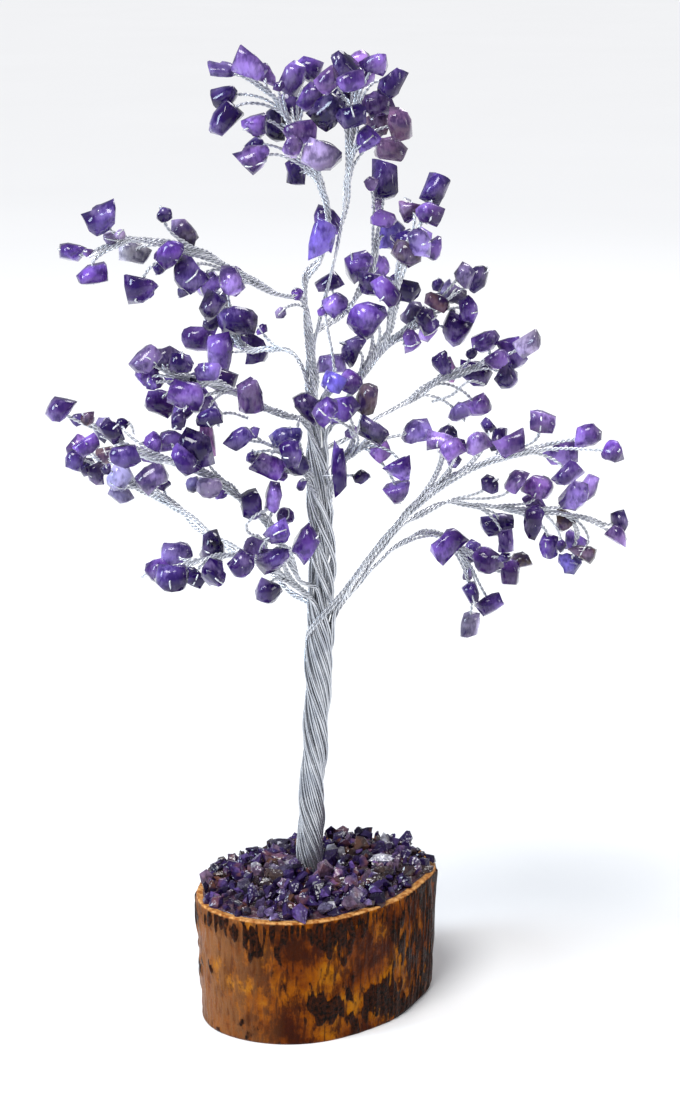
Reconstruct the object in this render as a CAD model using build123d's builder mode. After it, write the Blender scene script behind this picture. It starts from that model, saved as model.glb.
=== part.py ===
from build123d import *
import os
from math import cos, pi, radians, sin, sqrt

import numpy as np

# A gemstone tree ornament: drilled stone chips on wire twigs, whose strands are laid up into a
# rope trunk that is glued into a log slice, under a bed of crushed stone.
# Millimetres, +Z up, the origin at the middle of the slice's underside, the front towards -Y.

# Overall size
tree_height = 250.0

# Log slice: a round of a branch with its bark on, oval, its long way from the front left to the back right
slice_radius = 34.6
slice_height = 34.5
slice_radius_shares = (0.85, 0.99, 0.93, 0.80, 0.72, 0.75, 0.88, 1.00, 0.93, 0.81, 0.72, 0.74)
slice_foot_share = 0.965

# Socket for the trunk, and the resin bed on the slice's top
socket_clearance = 0.3
socket_depth = 15.0
bed_rim = 2.6
bed_thickness = 1.2

# Crushed stone on the bed: crumbs on a golden spiral, higher towards the trunk
crumb_radius = 2.4
crumb_spread = 3.15
crumb_height = 2.4
mound_rise = 2.2
crumb_draft = 12.0
crumb_sides_shares = (4, 5, 4, 4)
crumb_height_shares = (0.9, 1.15, 0.75, 1.0, 1.3, 0.85)

# Wire strands and the rope that they are laid up in
strand_radius = 0.63
strand_sides = 5
strand_gap = 0.06
lay_pitch = 53.0
steps_per_turn = 10
outer_slots = 13
inner_slots = 5
upper_slots = 7
inner_slot_turn = 4.0
upper_slot_turn = 30.0
foot_clearance = 0.3

# Twigs
twig_width = 0.8
twig_gap = 0.1
twig_tail = 0.5
longest_twig = 21.0
steepest_foot_share = 0.88
tip_foot_share = 0.6

# Stone chips
stone_length = 7.4
stone_thickness_share = 0.5
stone_draft = 12.0
stone_gap = 0.35
drill_clearance = 0.05
slide_step = 0.8
slides = 16
roll_turn = 28.0
feet_tried = 20

# Spacing of the points that clearances are measured at
measure_step = 0.7

# The front view that the crown's places are read on: an eye in front of the trunk, looking down
eye_distance = 575.0
eye_height = 284.0
eye_offset = 6.0
eye_tilt = 15.5
view_plane_distance = 583.0
view_centre_share = 0.023
golden_turn = 137.508
one_turn = 360.0
half_turn = 180.0


def seen_at(across_share, up_share, back_share):
    """The place on a line of sight that stands a share of the height behind the trunk's plane."""
    across = (across_share - view_centre_share) * tree_height
    up = (up_share - 0.5) * tree_height
    tilt = radians(eye_tilt)
    ray = Vector(
        across,
        view_plane_distance * cos(tilt) + up * sin(tilt),
        up * cos(tilt) - view_plane_distance * sin(tilt),
    )
    eye = Vector(eye_offset, -eye_distance, eye_height)
    return eye + ray * ((eye_distance + back_share * tree_height) / ray.Y)


# The trunk's middle line: across and up shares on the front view, from the foot to the crown's fork
trunk_line_shares = (
    (-0.006, 0.150),
    (-0.006, 0.250),
    (0.001, 0.352),
    (0.004, 0.432),
    (0.005, 0.512),
    (0.001, 0.572),
    (-0.004, 0.632),
    (-0.007, 0.692),
    (-0.007, 0.760),
)
trunk_line = [seen_at(across, up, 0) for across, up in trunk_line_shares]


def trunk_x(height):
    """How far the trunk's middle line stands off the axis at a height."""
    return float(np.interp(height, [p.Z for p in trunk_line], [p.X for p in trunk_line]))


# Each branch: its slot in the trunk's outer or inner ring, the steps of the lay after which it
# leaves the trunk, its route beyond, and its stones. Places are across, up and back shares on
# the front view. A stone adds its length as a share of stone_length, and the lean of its long
# side in degrees.
branch_shares = {
    "low_right_branch": {
        "ring": "outer",
        "slot": 12,
        "leave": 15,
        "route": [
            (0.034, 0.466, -0.030),
            (0.058, 0.503, -0.032),
            (0.095, 0.543, -0.042),
            (0.128, 0.571, -0.052),
            (0.165, 0.589, -0.062),
            (0.203, 0.600, -0.070),
            (0.243, 0.609, -0.077),
        ],
        "stones": [
            (0.123, 0.609, -0.075, 0.95, 20),
            (0.131, 0.618, -0.030, 0.90, 5),
            (0.136, 0.603, -0.085, 0.95, 20),
            (0.162, 0.609, -0.095, 1.00, 10),
            (0.181, 0.612, -0.055, 0.90, 80),
            (0.194, 0.607, -0.085, 1.00, 20),
            (0.223, 0.630, -0.070, 1.15, 10),
            (0.246, 0.597, -0.060, 1.10, 25),
            (0.250, 0.579, -0.090, 1.00, 10),
            (0.272, 0.617, -0.085, 1.05, 40),
            (0.294, 0.601, -0.075, 1.00, -65),
        ],
    },
    "low_right_spreading_branch": {
        "ring": "outer",
        "slot": 1,
        "leave": 15,
        "route": [
            (0.035, 0.460, 0.012),
            (0.058, 0.494, 0.022),
            (0.095, 0.534, 0.034),
            (0.131, 0.550, 0.044),
            (0.163, 0.547, 0.052),
            (0.203, 0.543, 0.060),
            (0.243, 0.540, 0.066),
            (0.270, 0.534, 0.068),
            (0.288, 0.526, 0.068),
        ],
        "stones": [
            (0.171, 0.566, 0.030, 1.05, -60),
            (0.181, 0.526, 0.070, 1.20, -25),
            (0.187, 0.511, 0.040, 0.90, -45),
            (0.199, 0.570, 0.050, 0.95, 30),
            (0.215, 0.530, 0.030, 1.05, 35),
            (0.218, 0.548, 0.085, 0.95, 15),
            (0.222, 0.564, 0.060, 1.25, 20),
            (0.232, 0.505, 0.075, 0.95, 80),
            (0.251, 0.529, 0.060, 1.10, -10),
            (0.252, 0.488, 0.085, 0.95, -15),
            (0.257, 0.510, 0.095, 0.95, -5),
            (0.258, 0.554, 0.050, 1.30, 25),
            (0.266, 0.501, 0.060, 0.95, -20),
            (0.272, 0.566, 0.080, 0.90, 60),
            (0.301, 0.517, 0.055, 0.90, 10),
            (0.303, 0.529, 0.070, 0.95, -45),
        ],
    },
    "low_right_drooping_branch": {
        "ring": "outer",
        "slot": 3,
        "leave": 15,
        "route": [
            (0.033, 0.458, 0.040),
            (0.058, 0.486, 0.058),
            (0.088, 0.512, 0.078),
            (0.115, 0.520, 0.096),
            (0.139, 0.507, 0.110),
            (0.153, 0.485, 0.118),
            (0.159, 0.468, 0.122),
        ],
        "stones": [
            (0.129, 0.509, 0.080, 1.30, -75),
            (0.152, 0.427, 0.130, 1.05, 70),
            (0.155, 0.457, 0.110, 0.90, 75),
            (0.156, 0.501, 0.135, 0.95, -70),
            (0.166, 0.491, 0.095, 1.45, -60),
            (0.174, 0.449, 0.125, 1.00, 30),
            (0.193, 0.481, 0.100, 1.05, -50),
            (0.204, 0.491, 0.130, 0.95, 10),
        ],
    },
    "low_left_branch": {
        "ring": "outer",
        "slot": 7,
        "leave": 16,
        "route": [
            (-0.031, 0.464, 0.026),
            (-0.047, 0.479, 0.042),
            (-0.077, 0.498, 0.062),
            (-0.111, 0.520, 0.082),
            (-0.143, 0.546, 0.102),
            (-0.175, 0.564, 0.118),
            (-0.205, 0.582, 0.130),
            (-0.226, 0.596, 0.130),
        ],
        "stones": [
            (-0.241, 0.592, 0.100, 0.95, 30),
            (-0.239, 0.605, 0.140, 1.00, 10),
            (-0.232, 0.586, 0.150, 0.90, 10),
            (-0.229, 0.606, 0.110, 0.90, 50),
            (-0.220, 0.577, 0.125, 0.90, 15),
            (-0.210, 0.598, 0.155, 0.90, -20),
            (-0.200, 0.570, 0.115, 1.20, 80),
            (-0.197, 0.558, 0.140, 0.90, 5),
            (-0.165, 0.573, 0.090, 1.25, 35),
        ],
    },
    "left_branch": {
        "ring": "outer",
        "slot": 11,
        "leave": 17,
        "route": [
            (-0.016, 0.470, -0.026),
            (-0.029, 0.497, -0.034),
            (-0.047, 0.527, -0.042),
            (-0.071, 0.550, -0.052),
            (-0.095, 0.569, -0.062),
            (-0.122, 0.584, -0.074),
            (-0.152, 0.592, -0.086),
            (-0.187, 0.604, -0.098),
            (-0.217, 0.616, -0.108),
        ],
        "stones": [
            (-0.257, 0.641, -0.110, 1.05, 75),
            (-0.214, 0.627, -0.085, 0.95, 70),
            (-0.205, 0.621, -0.130, 0.90, 60),
            (-0.193, 0.597, -0.125, 1.10, 85),
            (-0.165, 0.606, -0.105, 1.10, 60),
            (-0.148, 0.613, -0.070, 1.00, 20),
            (-0.134, 0.588, -0.105, 1.20, 30),
            (-0.124, 0.604, -0.080, 1.45, 40),
            (-0.109, 0.611, -0.055, 1.15, 80),
            (-0.107, 0.565, -0.085, 0.95, -10),
            (-0.066, 0.545, -0.070, 1.10, -45),
        ],
    },
    "low_left_front_branch": {
        "ring": "outer",
        "slot": 10,
        "leave": 16,
        "route": [
            (-0.031, 0.474, -0.030),
            (-0.049, 0.487, -0.050),
            (-0.073, 0.496, -0.068),
            (-0.099, 0.496, -0.086),
            (-0.125, 0.490, -0.100),
            (-0.146, 0.485, -0.108),
        ],
        "stones": [
            (-0.163, 0.479, -0.110, 1.20, 10),
            (-0.146, 0.475, -0.130, 1.25, 5),
            (-0.140, 0.500, -0.090, 1.10, 15),
            (-0.123, 0.474, -0.110, 0.90, -70),
            (-0.106, 0.478, -0.130, 1.25, -15),
            (-0.105, 0.503, -0.100, 1.15, 70),
            (-0.077, 0.488, -0.095, 1.10, 0),
            (-0.067, 0.504, -0.070, 1.05, 30),
            (-0.049, 0.463, -0.060, 1.10, -65),
            (-0.041, 0.552, -0.085, 1.10, 30),
            (-0.042, 0.491, -0.085, 1.25, 10),
            (-0.040, 0.517, -0.065, 1.10, 10),
            (-0.013, 0.506, -0.070, 1.65, 65),
        ],
    },
    "upper_right_outer_branch": {
        "ring": "outer",
        "slot": 9,
        "upper_slot": 5,
        "leave": 24,
        "route": [
            (0.028, 0.650, -0.034),
            (0.047, 0.680, -0.046),
            (0.068, 0.712, -0.058),
            (0.077, 0.747, -0.068),
            (0.081, 0.780, -0.076),
            (0.093, 0.812, -0.084),
            (0.105, 0.830, -0.088),
        ],
        "stones": [
            (0.020, 0.748, -0.075, 0.95, 30),
            (0.036, 0.704, -0.070, 1.20, 40),
            (0.050, 0.731, -0.085, 1.50, 65),
            (0.060, 0.768, -0.060, 1.10, 15),
            (0.070, 0.761, -0.095, 1.10, 30),
            (0.085, 0.763, -0.070, 1.15, -65),
            (0.086, 0.811, -0.065, 1.10, -80),
            (0.091, 0.796, -0.100, 1.10, 80),
            (0.093, 0.845, -0.075, 1.05, 35),
            (0.103, 0.808, -0.110, 1.05, 80),
            (0.104, 0.814, -0.070, 0.90, 60),
            (0.112, 0.838, -0.100, 0.95, 20),
            (0.115, 0.803, -0.085, 0.90, 70),
            (0.120, 0.863, -0.080, 1.05, 35),
        ],
    },
    "right_shoulder_branch": {
        "ring": "outer",
        "slot": 4,
        "upper_slot": 1,
        "leave": 25,
        "route": [
            (0.033, 0.656, 0.048),
            (0.061, 0.700, 0.076),
            (0.085, 0.720, 0.098),
            (0.111, 0.737, 0.114),
            (0.133, 0.754, 0.126),
        ],
        "stones": [
            (0.093, 0.711, 0.080, 1.00, -35),
            (0.095, 0.739, 0.115, 0.95, 60),
            (0.111, 0.731, 0.085, 1.05, 15),
            (0.112, 0.722, 0.130, 0.90, 10),
            (0.119, 0.748, 0.095, 0.95, 85),
            (0.136, 0.758, 0.140, 1.10, 70),
            (0.137, 0.718, 0.110, 1.50, 50),
            (0.144, 0.778, 0.125, 1.05, 10),
            (0.151, 0.741, 0.110, 0.95, 80),
            (0.161, 0.774, 0.110, 1.10, 60),
        ],
    },
    "right_middle_branch": {
        "ring": "outer",
        "slot": 2,
        "upper_slot": 0,
        "leave": 23,
        "route": [
            (0.034, 0.616, 0.030),
            (0.060, 0.634, 0.044),
            (0.088, 0.649, 0.056),
            (0.115, 0.668, 0.066),
            (0.143, 0.680, 0.074),
            (0.168, 0.688, 0.078),
            (0.190, 0.697, 0.080),
        ],
        "stones": [
            (0.125, 0.690, 0.060, 0.95, 70),
            (0.132, 0.682, 0.095, 0.90, -30),
            (0.142, 0.637, 0.055, 1.00, 20),
            (0.158, 0.678, 0.090, 1.35, 15),
            (0.160, 0.645, 0.080, 1.05, 20),
            (0.168, 0.710, 0.085, 1.05, 60),
            (0.180, 0.692, 0.065, 1.00, 40),
            (0.186, 0.676, 0.085, 1.20, 80),
            (0.197, 0.700, 0.095, 1.10, 60),
            (0.210, 0.707, 0.080, 0.95, 30),
        ],
    },
    "left_middle_branch": {
        "ring": "outer",
        "slot": 8,
        "upper_slot": 4,
        "leave": 25,
        "route": [
            (-0.036, 0.640, -0.026),
            (-0.055, 0.646, -0.042),
            (-0.077, 0.660, -0.058),
            (-0.097, 0.668, -0.070),
            (-0.122, 0.672, -0.080),
            (-0.140, 0.674, -0.084),
            (-0.158, 0.677, -0.086),
        ],
        "stones": [
            (-0.171, 0.674, -0.075, 1.20, 80),
            (-0.170, 0.692, -0.095, 1.05, 30),
            (-0.158, 0.649, -0.085, 1.15, -60),
            (-0.154, 0.695, -0.070, 1.05, 20),
            (-0.134, 0.688, -0.090, 1.05, 60),
            (-0.136, 0.641, -0.060, 1.05, 75),
            (-0.131, 0.658, -0.095, 1.35, 60),
            (-0.115, 0.652, -0.065, 1.20, 85),
            (-0.111, 0.680, -0.085, 0.90, 20),
            (-0.109, 0.635, -0.085, 0.90, 40),
            (-0.100, 0.672, -0.050, 1.20, -10),
            (-0.068, 0.656, -0.060, 1.25, -30),
        ],
    },
    "centre_left_branch": {
        "ring": "outer",
        "slot": 5,
        "upper_slot": 2,
        "leave": 22,
        "route": [
            (-0.021, 0.594, -0.044),
            (-0.039, 0.603, -0.062),
            (-0.057, 0.610, -0.076),
            (-0.071, 0.612, -0.084),
        ],
        "stones": [
            (-0.077, 0.614, -0.105, 0.95, -10),
            (-0.048, 0.588, -0.075, 1.15, 75),
            (-0.029, 0.613, -0.075, 1.15, 45),
            (-0.027, 0.597, -0.095, 1.00, 5),
            (-0.020, 0.590, -0.070, 1.10, 20),
            (-0.011, 0.646, -0.045, 1.30, 10),
        ],
    },
    "centre_right_branch": {
        "ring": "outer",
        "slot": 6,
        "upper_slot": 3,
        "leave": 21,
        "route": [
            (0.025, 0.590, -0.042),
            (0.041, 0.604, -0.060),
            (0.055, 0.614, -0.074),
            (0.069, 0.612, -0.082),
        ],
        "stones": [
            (0.007, 0.640, -0.060, 0.95, 50),
            (0.023, 0.583, -0.075, 1.75, 85),
            (0.026, 0.644, -0.075, 1.20, 30),
            (0.050, 0.651, -0.060, 1.05, 30),
            (0.056, 0.620, -0.095, 1.05, 85),
            (0.062, 0.599, -0.070, 0.95, 40),
            (0.080, 0.560, -0.080, 1.10, 10),
            (0.086, 0.585, -0.095, 1.15, 85),
            (0.099, 0.621, -0.085, 1.05, 35),
        ],
    },
    "front_branch": {
        "ring": "outer",
        "slot": 0,
        "upper_slot": 6,
        "leave": 26,
        "route": [
            (0.009, 0.656, -0.044),
            (0.017, 0.668, -0.060),
            (0.019, 0.684, -0.070),
        ],
        "stones": [
            (0.012, 0.671, -0.085, 1.05, 10),
            (0.015, 0.688, -0.060, 1.00, 10),
            (0.032, 0.669, -0.075, 1.10, 10),
        ],
    },
    "left_shoulder_branch": {
        "ring": "inner",
        "slot": 4,
        "leave": 28,
        "route": [
            (-0.032, 0.703, 0.030),
            (-0.052, 0.702, 0.048),
            (-0.070, 0.700, 0.062),
            (-0.079, 0.706, 0.072),
            (-0.082, 0.720, 0.080),
            (-0.084, 0.738, 0.084),
            (-0.090, 0.758, 0.084),
        ],
        "stones": [
            (-0.122, 0.715, 0.090, 1.30, 45),
            (-0.106, 0.768, 0.080, 0.95, 20),
            (-0.102, 0.749, 0.095, 1.15, 20),
            (-0.097, 0.699, 0.060, 1.45, -60),
            (-0.086, 0.772, 0.070, 1.05, 70),
            (-0.081, 0.715, 0.110, 1.10, 30),
            (-0.079, 0.731, 0.060, 1.50, 70),
            (-0.060, 0.701, 0.085, 1.20, 60),
        ],
    },
    "upper_right_inner_branch": {
        "ring": "inner",
        "slot": 3,
        "leave": 29,
        "route": [
            (0.022, 0.734, 0.034),
            (0.038, 0.752, 0.048),
            (0.053, 0.784, 0.062),
            (0.061, 0.817, 0.072),
            (0.066, 0.844, 0.076),
        ],
        "stones": [
            (0.012, 0.767, 0.040, 0.95, 50),
            (0.043, 0.786, 0.060, 1.35, -75),
            (0.064, 0.788, 0.090, 0.95, 10),
            (0.066, 0.833, 0.060, 0.95, -60),
            (0.068, 0.872, 0.085, 1.30, -55),
            (0.074, 0.816, 0.080, 1.40, 65),
        ],
    },
    "upper_left_branch": {
        "ring": "inner",
        "slot": 1,
        "leave": 31,
        "route": [
            (-0.034, 0.756, -0.022),
            (-0.067, 0.775, -0.040),
            (-0.112, 0.797, -0.058),
            (-0.149, 0.809, -0.070),
            (-0.182, 0.812, -0.076),
            (-0.206, 0.806, -0.080),
            (-0.228, 0.795, -0.084),
        ],
        "stones": [
            (-0.248, 0.800, -0.080, 1.05, -30),
            (-0.224, 0.777, -0.085, 1.00, -20),
            (-0.214, 0.833, -0.095, 1.20, -20),
            (-0.184, 0.798, -0.055, 1.10, -5),
            (-0.177, 0.765, -0.090, 1.30, -20),
            (-0.148, 0.799, -0.095, 1.10, -10),
            (-0.131, 0.818, -0.060, 1.00, 80),
            (-0.127, 0.778, -0.085, 1.35, 5),
            (-0.106, 0.768, -0.045, 0.90, 30),
            (-0.102, 0.749, -0.070, 1.10, 25),
            (-0.086, 0.772, -0.060, 1.10, 10),
        ],
    },
    "top_left_branch": {
        "ring": "inner",
        "slot": 0,
        "leave": 32,
        "route": [
            (0.003, 0.790, 0.012),
            (0.009, 0.820, 0.018),
            (0.008, 0.857, 0.024),
            (-0.005, 0.887, 0.028),
            (-0.021, 0.914, 0.028),
            (-0.032, 0.940, 0.030),
            (-0.050, 0.962, 0.030),
            (-0.072, 0.977, 0.028),
        ],
        "stones": [
            (-0.095, 0.979, 0.030, 1.05, 35),
            (-0.094, 0.933, 0.020, 1.25, 15),
            (-0.092, 0.955, 0.045, 0.95, 5),
            (-0.068, 0.986, 0.010, 1.20, -20),
            (-0.062, 0.927, 0.005, 1.10, 30),
            (-0.062, 0.893, 0.025, 1.30, -25),
            (-0.051, 0.979, 0.035, 1.00, 30),
            (-0.043, 0.928, 0.045, 1.10, 70),
            (-0.025, 0.903, 0.005, 0.90, 30),
            (-0.025, 0.973, 0.015, 1.10, 60),
            (-0.024, 0.948, 0.050, 1.10, 70),
            (-0.022, 0.879, 0.045, 0.90, -10),
            (-0.016, 0.919, 0.000, 1.15, 60),
            (-0.008, 0.983, 0.045, 1.15, -10),
            (-0.007, 0.956, 0.010, 1.10, 75),
            (0.005, 0.812, -0.015, 1.30, -80),
            (0.005, 0.895, -0.015, 1.50, 40),
            (0.011, 0.831, 0.040, 1.40, -60),
        ],
    },
    "top_right_branch": {
        "ring": "inner",
        "slot": 2,
        "leave": 30,
        "route": [
            (0.025, 0.830, -0.012),
            (0.030, 0.868, -0.014),
            (0.033, 0.902, -0.016),
            (0.036, 0.932, -0.016),
            (0.041, 0.960, -0.014),
            (0.048, 0.984, -0.010),
        ],
        "stones": [
            (0.011, 0.941, -0.030, 1.25, 30),
            (0.013, 0.971, -0.010, 1.00, 55),
            (0.026, 0.955, 0.010, 1.15, 85),
            (0.026, 0.987, -0.025, 1.15, -55),
            (0.035, 0.970, -0.040, 0.95, 10),
            (0.037, 0.936, -0.035, 1.15, -15),
            (0.040, 0.992, 0.005, 1.00, -20),
            (0.048, 0.975, 0.015, 0.95, 40),
            (0.049, 0.911, -0.025, 1.05, 65),
            (0.058, 0.987, -0.015, 0.95, -15),
            (0.061, 0.947, -0.005, 1.15, 10),
            (0.062, 0.930, -0.035, 1.05, 0),
            (0.072, 0.970, -0.015, 1.15, -70),
            (0.074, 0.903, -0.020, 1.05, 20),
            (0.083, 0.927, -0.025, 1.15, 55),
        ],
    },
}


# The rope: five strands round the middle, and thirteen round those that even out to seven above
# the lowest branches. Each ring is as tight as its strands' chords allow.
def ring_radius(strands, within):
    """The least ring that holds its strands side by side and clear of the ring within it."""
    chord_share = cos(pi / steps_per_turn)
    side_by_side = (2 * strand_radius + strand_gap) / (2 * sin(pi / strands) * chord_share)
    lay = 2 * pi * side_by_side / lay_pitch
    outside = within + (2 * strand_radius + strand_gap) / chord_share
    return max(side_by_side * sqrt(1 + lay * lay), outside if within else 0)


inner_ring_radius = ring_radius(inner_slots, 0)
upper_ring_radius = ring_radius(upper_slots, inner_ring_radius)
outer_ring_radius = ring_radius(outer_slots, inner_ring_radius)
rope_radius = outer_ring_radius + strand_radius
closing_start = seen_at(0, 0.455, 0).Z
closing_end = seen_at(0, 0.540, 0).Z
foot_height = slice_height - socket_depth + foot_clearance
lay_step = lay_pitch / steps_per_turn


def lay_point(branch, height, lift=0):
    """Where a strand stands in the rope at a height: left-hand lay round the trunk's middle line."""
    if branch["ring"] == "inner":
        radius = inner_ring_radius
        slot = inner_slot_turn + one_turn * branch["slot"] / inner_slots
    else:
        closing = float(np.interp(height, [closing_start, closing_end], [0, 1]))
        radius = outer_ring_radius + (upper_ring_radius - outer_ring_radius) * closing
        low = one_turn * branch["slot"] / outer_slots
        high = upper_slot_turn + one_turn * branch.get("upper_slot", 0) / upper_slots
        slot = low + ((high - low + half_turn) % one_turn - half_turn) * closing
    turn = radians(slot - one_turn * height / lay_pitch)
    radius += lift
    return Vector(trunk_x(height) + radius * cos(turn), radius * sin(turn), height)


def strand_points(branch):
    """The strand's points in the rope, the one that lifts it off, and those of its own route."""
    leave = branch["leave"]
    rope = [lay_point(branch, foot_height + lay_step * i) for i in range(leave + 1)]
    above = foot_height + lay_step * (leave + 1)
    lifted = lay_point(branch, above, 2 * strand_radius + strand_gap)
    return rope + [lifted], [seen_at(*place) for place in branch["route"]]


def measured(points):
    """Evenly spaced places along a polyline, and the direction that it runs in at each."""
    corners = np.array([tuple(p) for p in points])
    runs = np.diff(corners, axis=0)
    lengths = np.linalg.norm(runs, axis=1)
    stations = np.concatenate([[0], np.cumsum(lengths)])
    at = np.linspace(0, stations[-1], int(stations[-1] / measure_step) + 2)
    places = np.stack([np.interp(at, stations, corners[:, i]) for i in range(3)], axis=1)
    run = np.clip(np.searchsorted(stations, at, side="right") - 1, 0, len(runs) - 1)
    return places, runs[run] / lengths[run][:, None]


# Outlines of the chips, as shares of a chip's length: slabs, wedges and slabs with a corner off
outline_shares = (
    ((-0.46, -0.30), (0.42, -0.34), (0.50, 0.22), (-0.36, 0.36)),
    ((-0.50, -0.20), (-0.22, -0.35), (0.46, -0.28), (0.42, 0.24), (-0.40, 0.34)),
    ((-0.50, -0.24), (0.46, -0.30), (0.26, 0.34), (-0.30, 0.32)),
    ((-0.50, -0.26), (0.48, -0.22), (0.18, 0.40), (-0.16, 0.38)),
    ((-0.42, -0.36), (0.44, -0.24), (0.50, 0.30), (-0.48, 0.26)),
    ((-0.40, -0.32), (0.50, -0.24), (0.36, 0.34), (-0.46, 0.28)),
)
toward_eye = np.array([0, -1, 0])


class Chip:
    """A drilled chip: its sizes, its outline, and its own axes once its twig's way is known."""

    def __init__(self, order, across, up, back, length_share, lean):
        self.across, self.up, self.back = across, up, back
        self.length = stone_length * length_share
        self.thickness = self.length * stone_thickness_share
        shares = outline_shares[order % len(outline_shares)]
        self.flat = np.array(shares) * self.length
        self.lean = np.array([cos(radians(lean)), 0, sin(radians(lean))])
        self.roll = roll_turn * sin(radians(golden_turn * order))
        self.reach = sqrt((self.flat**2).sum(axis=1).max() + (self.thickness / 2) ** 2)

    def slide(self, along):
        """Moves the chip fore or aft on its line of sight."""
        self.centre = np.array(tuple(seen_at(self.across, self.up, self.back + along / tree_height)))

    def turn_to(self, way):
        """Turns the chip so that its twig runs along or across it, whichever leans as it was seen."""
        face = toward_eye - way * (toward_eye @ way)
        face = face / np.linalg.norm(face)
        face = face * cos(radians(self.roll)) + np.cross(way, face) * sin(radians(self.roll))
        self.lengthwise = abs(way @ self.lean) > cos(pi / 4)
        if self.lengthwise:
            self.axes = np.array([way, np.cross(face, way), face])
        else:
            self.axes = np.array([np.cross(way, face), way, face])
        self.way = way
        edges = np.roll(self.flat, -1, axis=0) - self.flat
        sides = np.stack([edges[:, 1], -edges[:, 0]], axis=1)
        sides /= np.linalg.norm(sides, axis=1)[:, None]
        self.normals = np.vstack([sides @ self.axes[:2], face, -face])
        self.offsets = np.concatenate([(sides * self.flat).sum(axis=1), [self.thickness / 2] * 2])
        rim = self.flat @ self.axes[:2]
        self.corners = np.vstack([rim + face * self.thickness / 2, rim - face * self.thickness / 2])

    def room(self, places):
        """How far each place lies outside the chip's faces."""
        return ((places - self.centre) @ self.normals.T - self.offsets).max(axis=1)

    def clears(self, other):
        """Whether a flat gap of the stone_gap fits between two chips."""
        between = other.centre - self.centre
        distance = np.linalg.norm(between)
        if distance > self.reach + other.reach + stone_gap:
            return True
        axes = np.vstack([self.normals, other.normals, between / distance])
        axes = axes * np.where(axes @ between < 0, -1, 1)[:, None]
        near = (self.corners @ axes.T).max(axis=0)
        far = (other.corners @ axes.T).min(axis=0)
        return (axes @ between + far - near).max() > stone_gap

    def exit(self, direction):
        """How far it is from the centre to where a line in a direction leaves the chip."""
        facing = self.normals @ direction
        return (self.offsets[facing > 0] / facing[facing > 0]).min()


def distances(places, others):
    """The distance from each place to the nearest of the others."""
    return np.linalg.norm(places[:, None] - others[None], axis=2).min(axis=1)


twig_half = twig_width * sqrt(2) / 2


def twig_clears(chip, branch, foot, start, end, near):
    """Whether a straight twig meets no chip, twig or strand but the one that it grows from."""
    at = np.linspace(start, end, int((end - start) / measure_step) + 2)
    chip.twig_places = foot + chip.way * at[:, None]
    if any(c.room(chip.twig_places).min() < twig_half + twig_gap for c in near):
        return False
    if any(distances(chip.twig_places, c.twig_places).min() < 2 * twig_half + twig_gap for c in near):
        return False
    beyond = chip.twig_places[at > start + twig_width]
    if distances(beyond, branch["places"]).min() < strand_radius + twig_half:
        return False
    return distances(chip.twig_places, branch["others"]).min() > strand_radius + twig_half + twig_gap


def chip_clears(chip, near):
    """Whether the chip itself meets no strand, chip or twig."""
    if chip.room(all_strand_places).min() < strand_radius + stone_gap:
        return False
    if not all(chip.clears(c) for c in near):
        return False
    return all(chip.room(c.twig_places).min() > twig_half + twig_gap for c in near)


def find_twig(chip, branch, placed):
    """Tries feet along the branch, the shortest and most forward twigs first."""
    feet = branch["feet"]
    ways = chip.centre - feet
    lengths = np.linalg.norm(ways, axis=1)
    ways = ways / lengths[:, None]
    along = (ways * branch["foot_runs"]).sum(axis=1)
    near = [c for c in placed if np.linalg.norm(c.centre - chip.centre) < longest_twig + c.reach]
    for i in np.argsort(lengths * (1.35 - 0.35 * along))[:feet_tried]:
        across = sqrt(1 - along[i] ** 2)
        if i == len(feet) - 1:
            start = (twig_gap + twig_half * across) / max(along[i], tip_foot_share)
        else:
            start = (strand_radius + twig_gap + twig_half * abs(along[i])) / across
        least_along = tip_foot_share if i == len(feet) - 1 else -steepest_foot_share
        most_along = 1 if i == len(feet) - 1 else steepest_foot_share
        overshoots = i < len(feet) - 1 and start * along[i] > np.linalg.norm(feet[-1] - feet[i])
        if overshoots or not least_along < along[i] <= most_along:
            continue
        chip.turn_to(ways[i])
        end = lengths[i] + chip.exit(chip.way) + twig_tail
        if start + chip.exit(-chip.way) + twig_half > lengths[i] or end - start > longest_twig:
            continue
        if chip_clears(chip, near) and twig_clears(chip, branch, feet[i], start, end, near):
            chip.foot = feet[i] + chip.way * start
            chip.twig_length = end - start
            return True
    return False


def find_place(chip, branch, placed):
    """Slides a chip fore and aft from its read depth until it and its twig have a free place."""
    for step in range(2 * slides):
        chip.slide(slide_step * ((step + 1) // 2) * (-1) ** step)
        if find_twig(chip, branch, placed):
            return True
    return False


for branch in branch_shares.values():
    branch["rope"], branch["limb"] = strand_points(branch)
    branch["places"], _ = measured(branch["rope"] + branch["limb"])
    branch["feet"], branch["foot_runs"] = measured(branch["rope"][-1:] + branch["limb"])
    branch["chips"] = []
all_strand_places = np.concatenate([b["places"] for b in branch_shares.values()])
for name, branch in branch_shares.items():
    branch["others"] = np.concatenate(
        [b["places"] for other, b in branch_shares.items() if other != name]
    )
placed_chips = []
order = 0
for name, branch in branch_shares.items():
    for row in sorted(branch["stones"], key=lambda stone: -stone[3]):
        chip = Chip(order, *row)
        order += 1
        if find_place(chip, branch, placed_chips):
            placed_chips.append(chip)
            branch["chips"].append(chip)
        else:
            print("no free place:", name, row)
print("chips placed:", len(placed_chips), "of", order)


# Solids
os.makedirs("parts", exist_ok=True)


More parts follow.
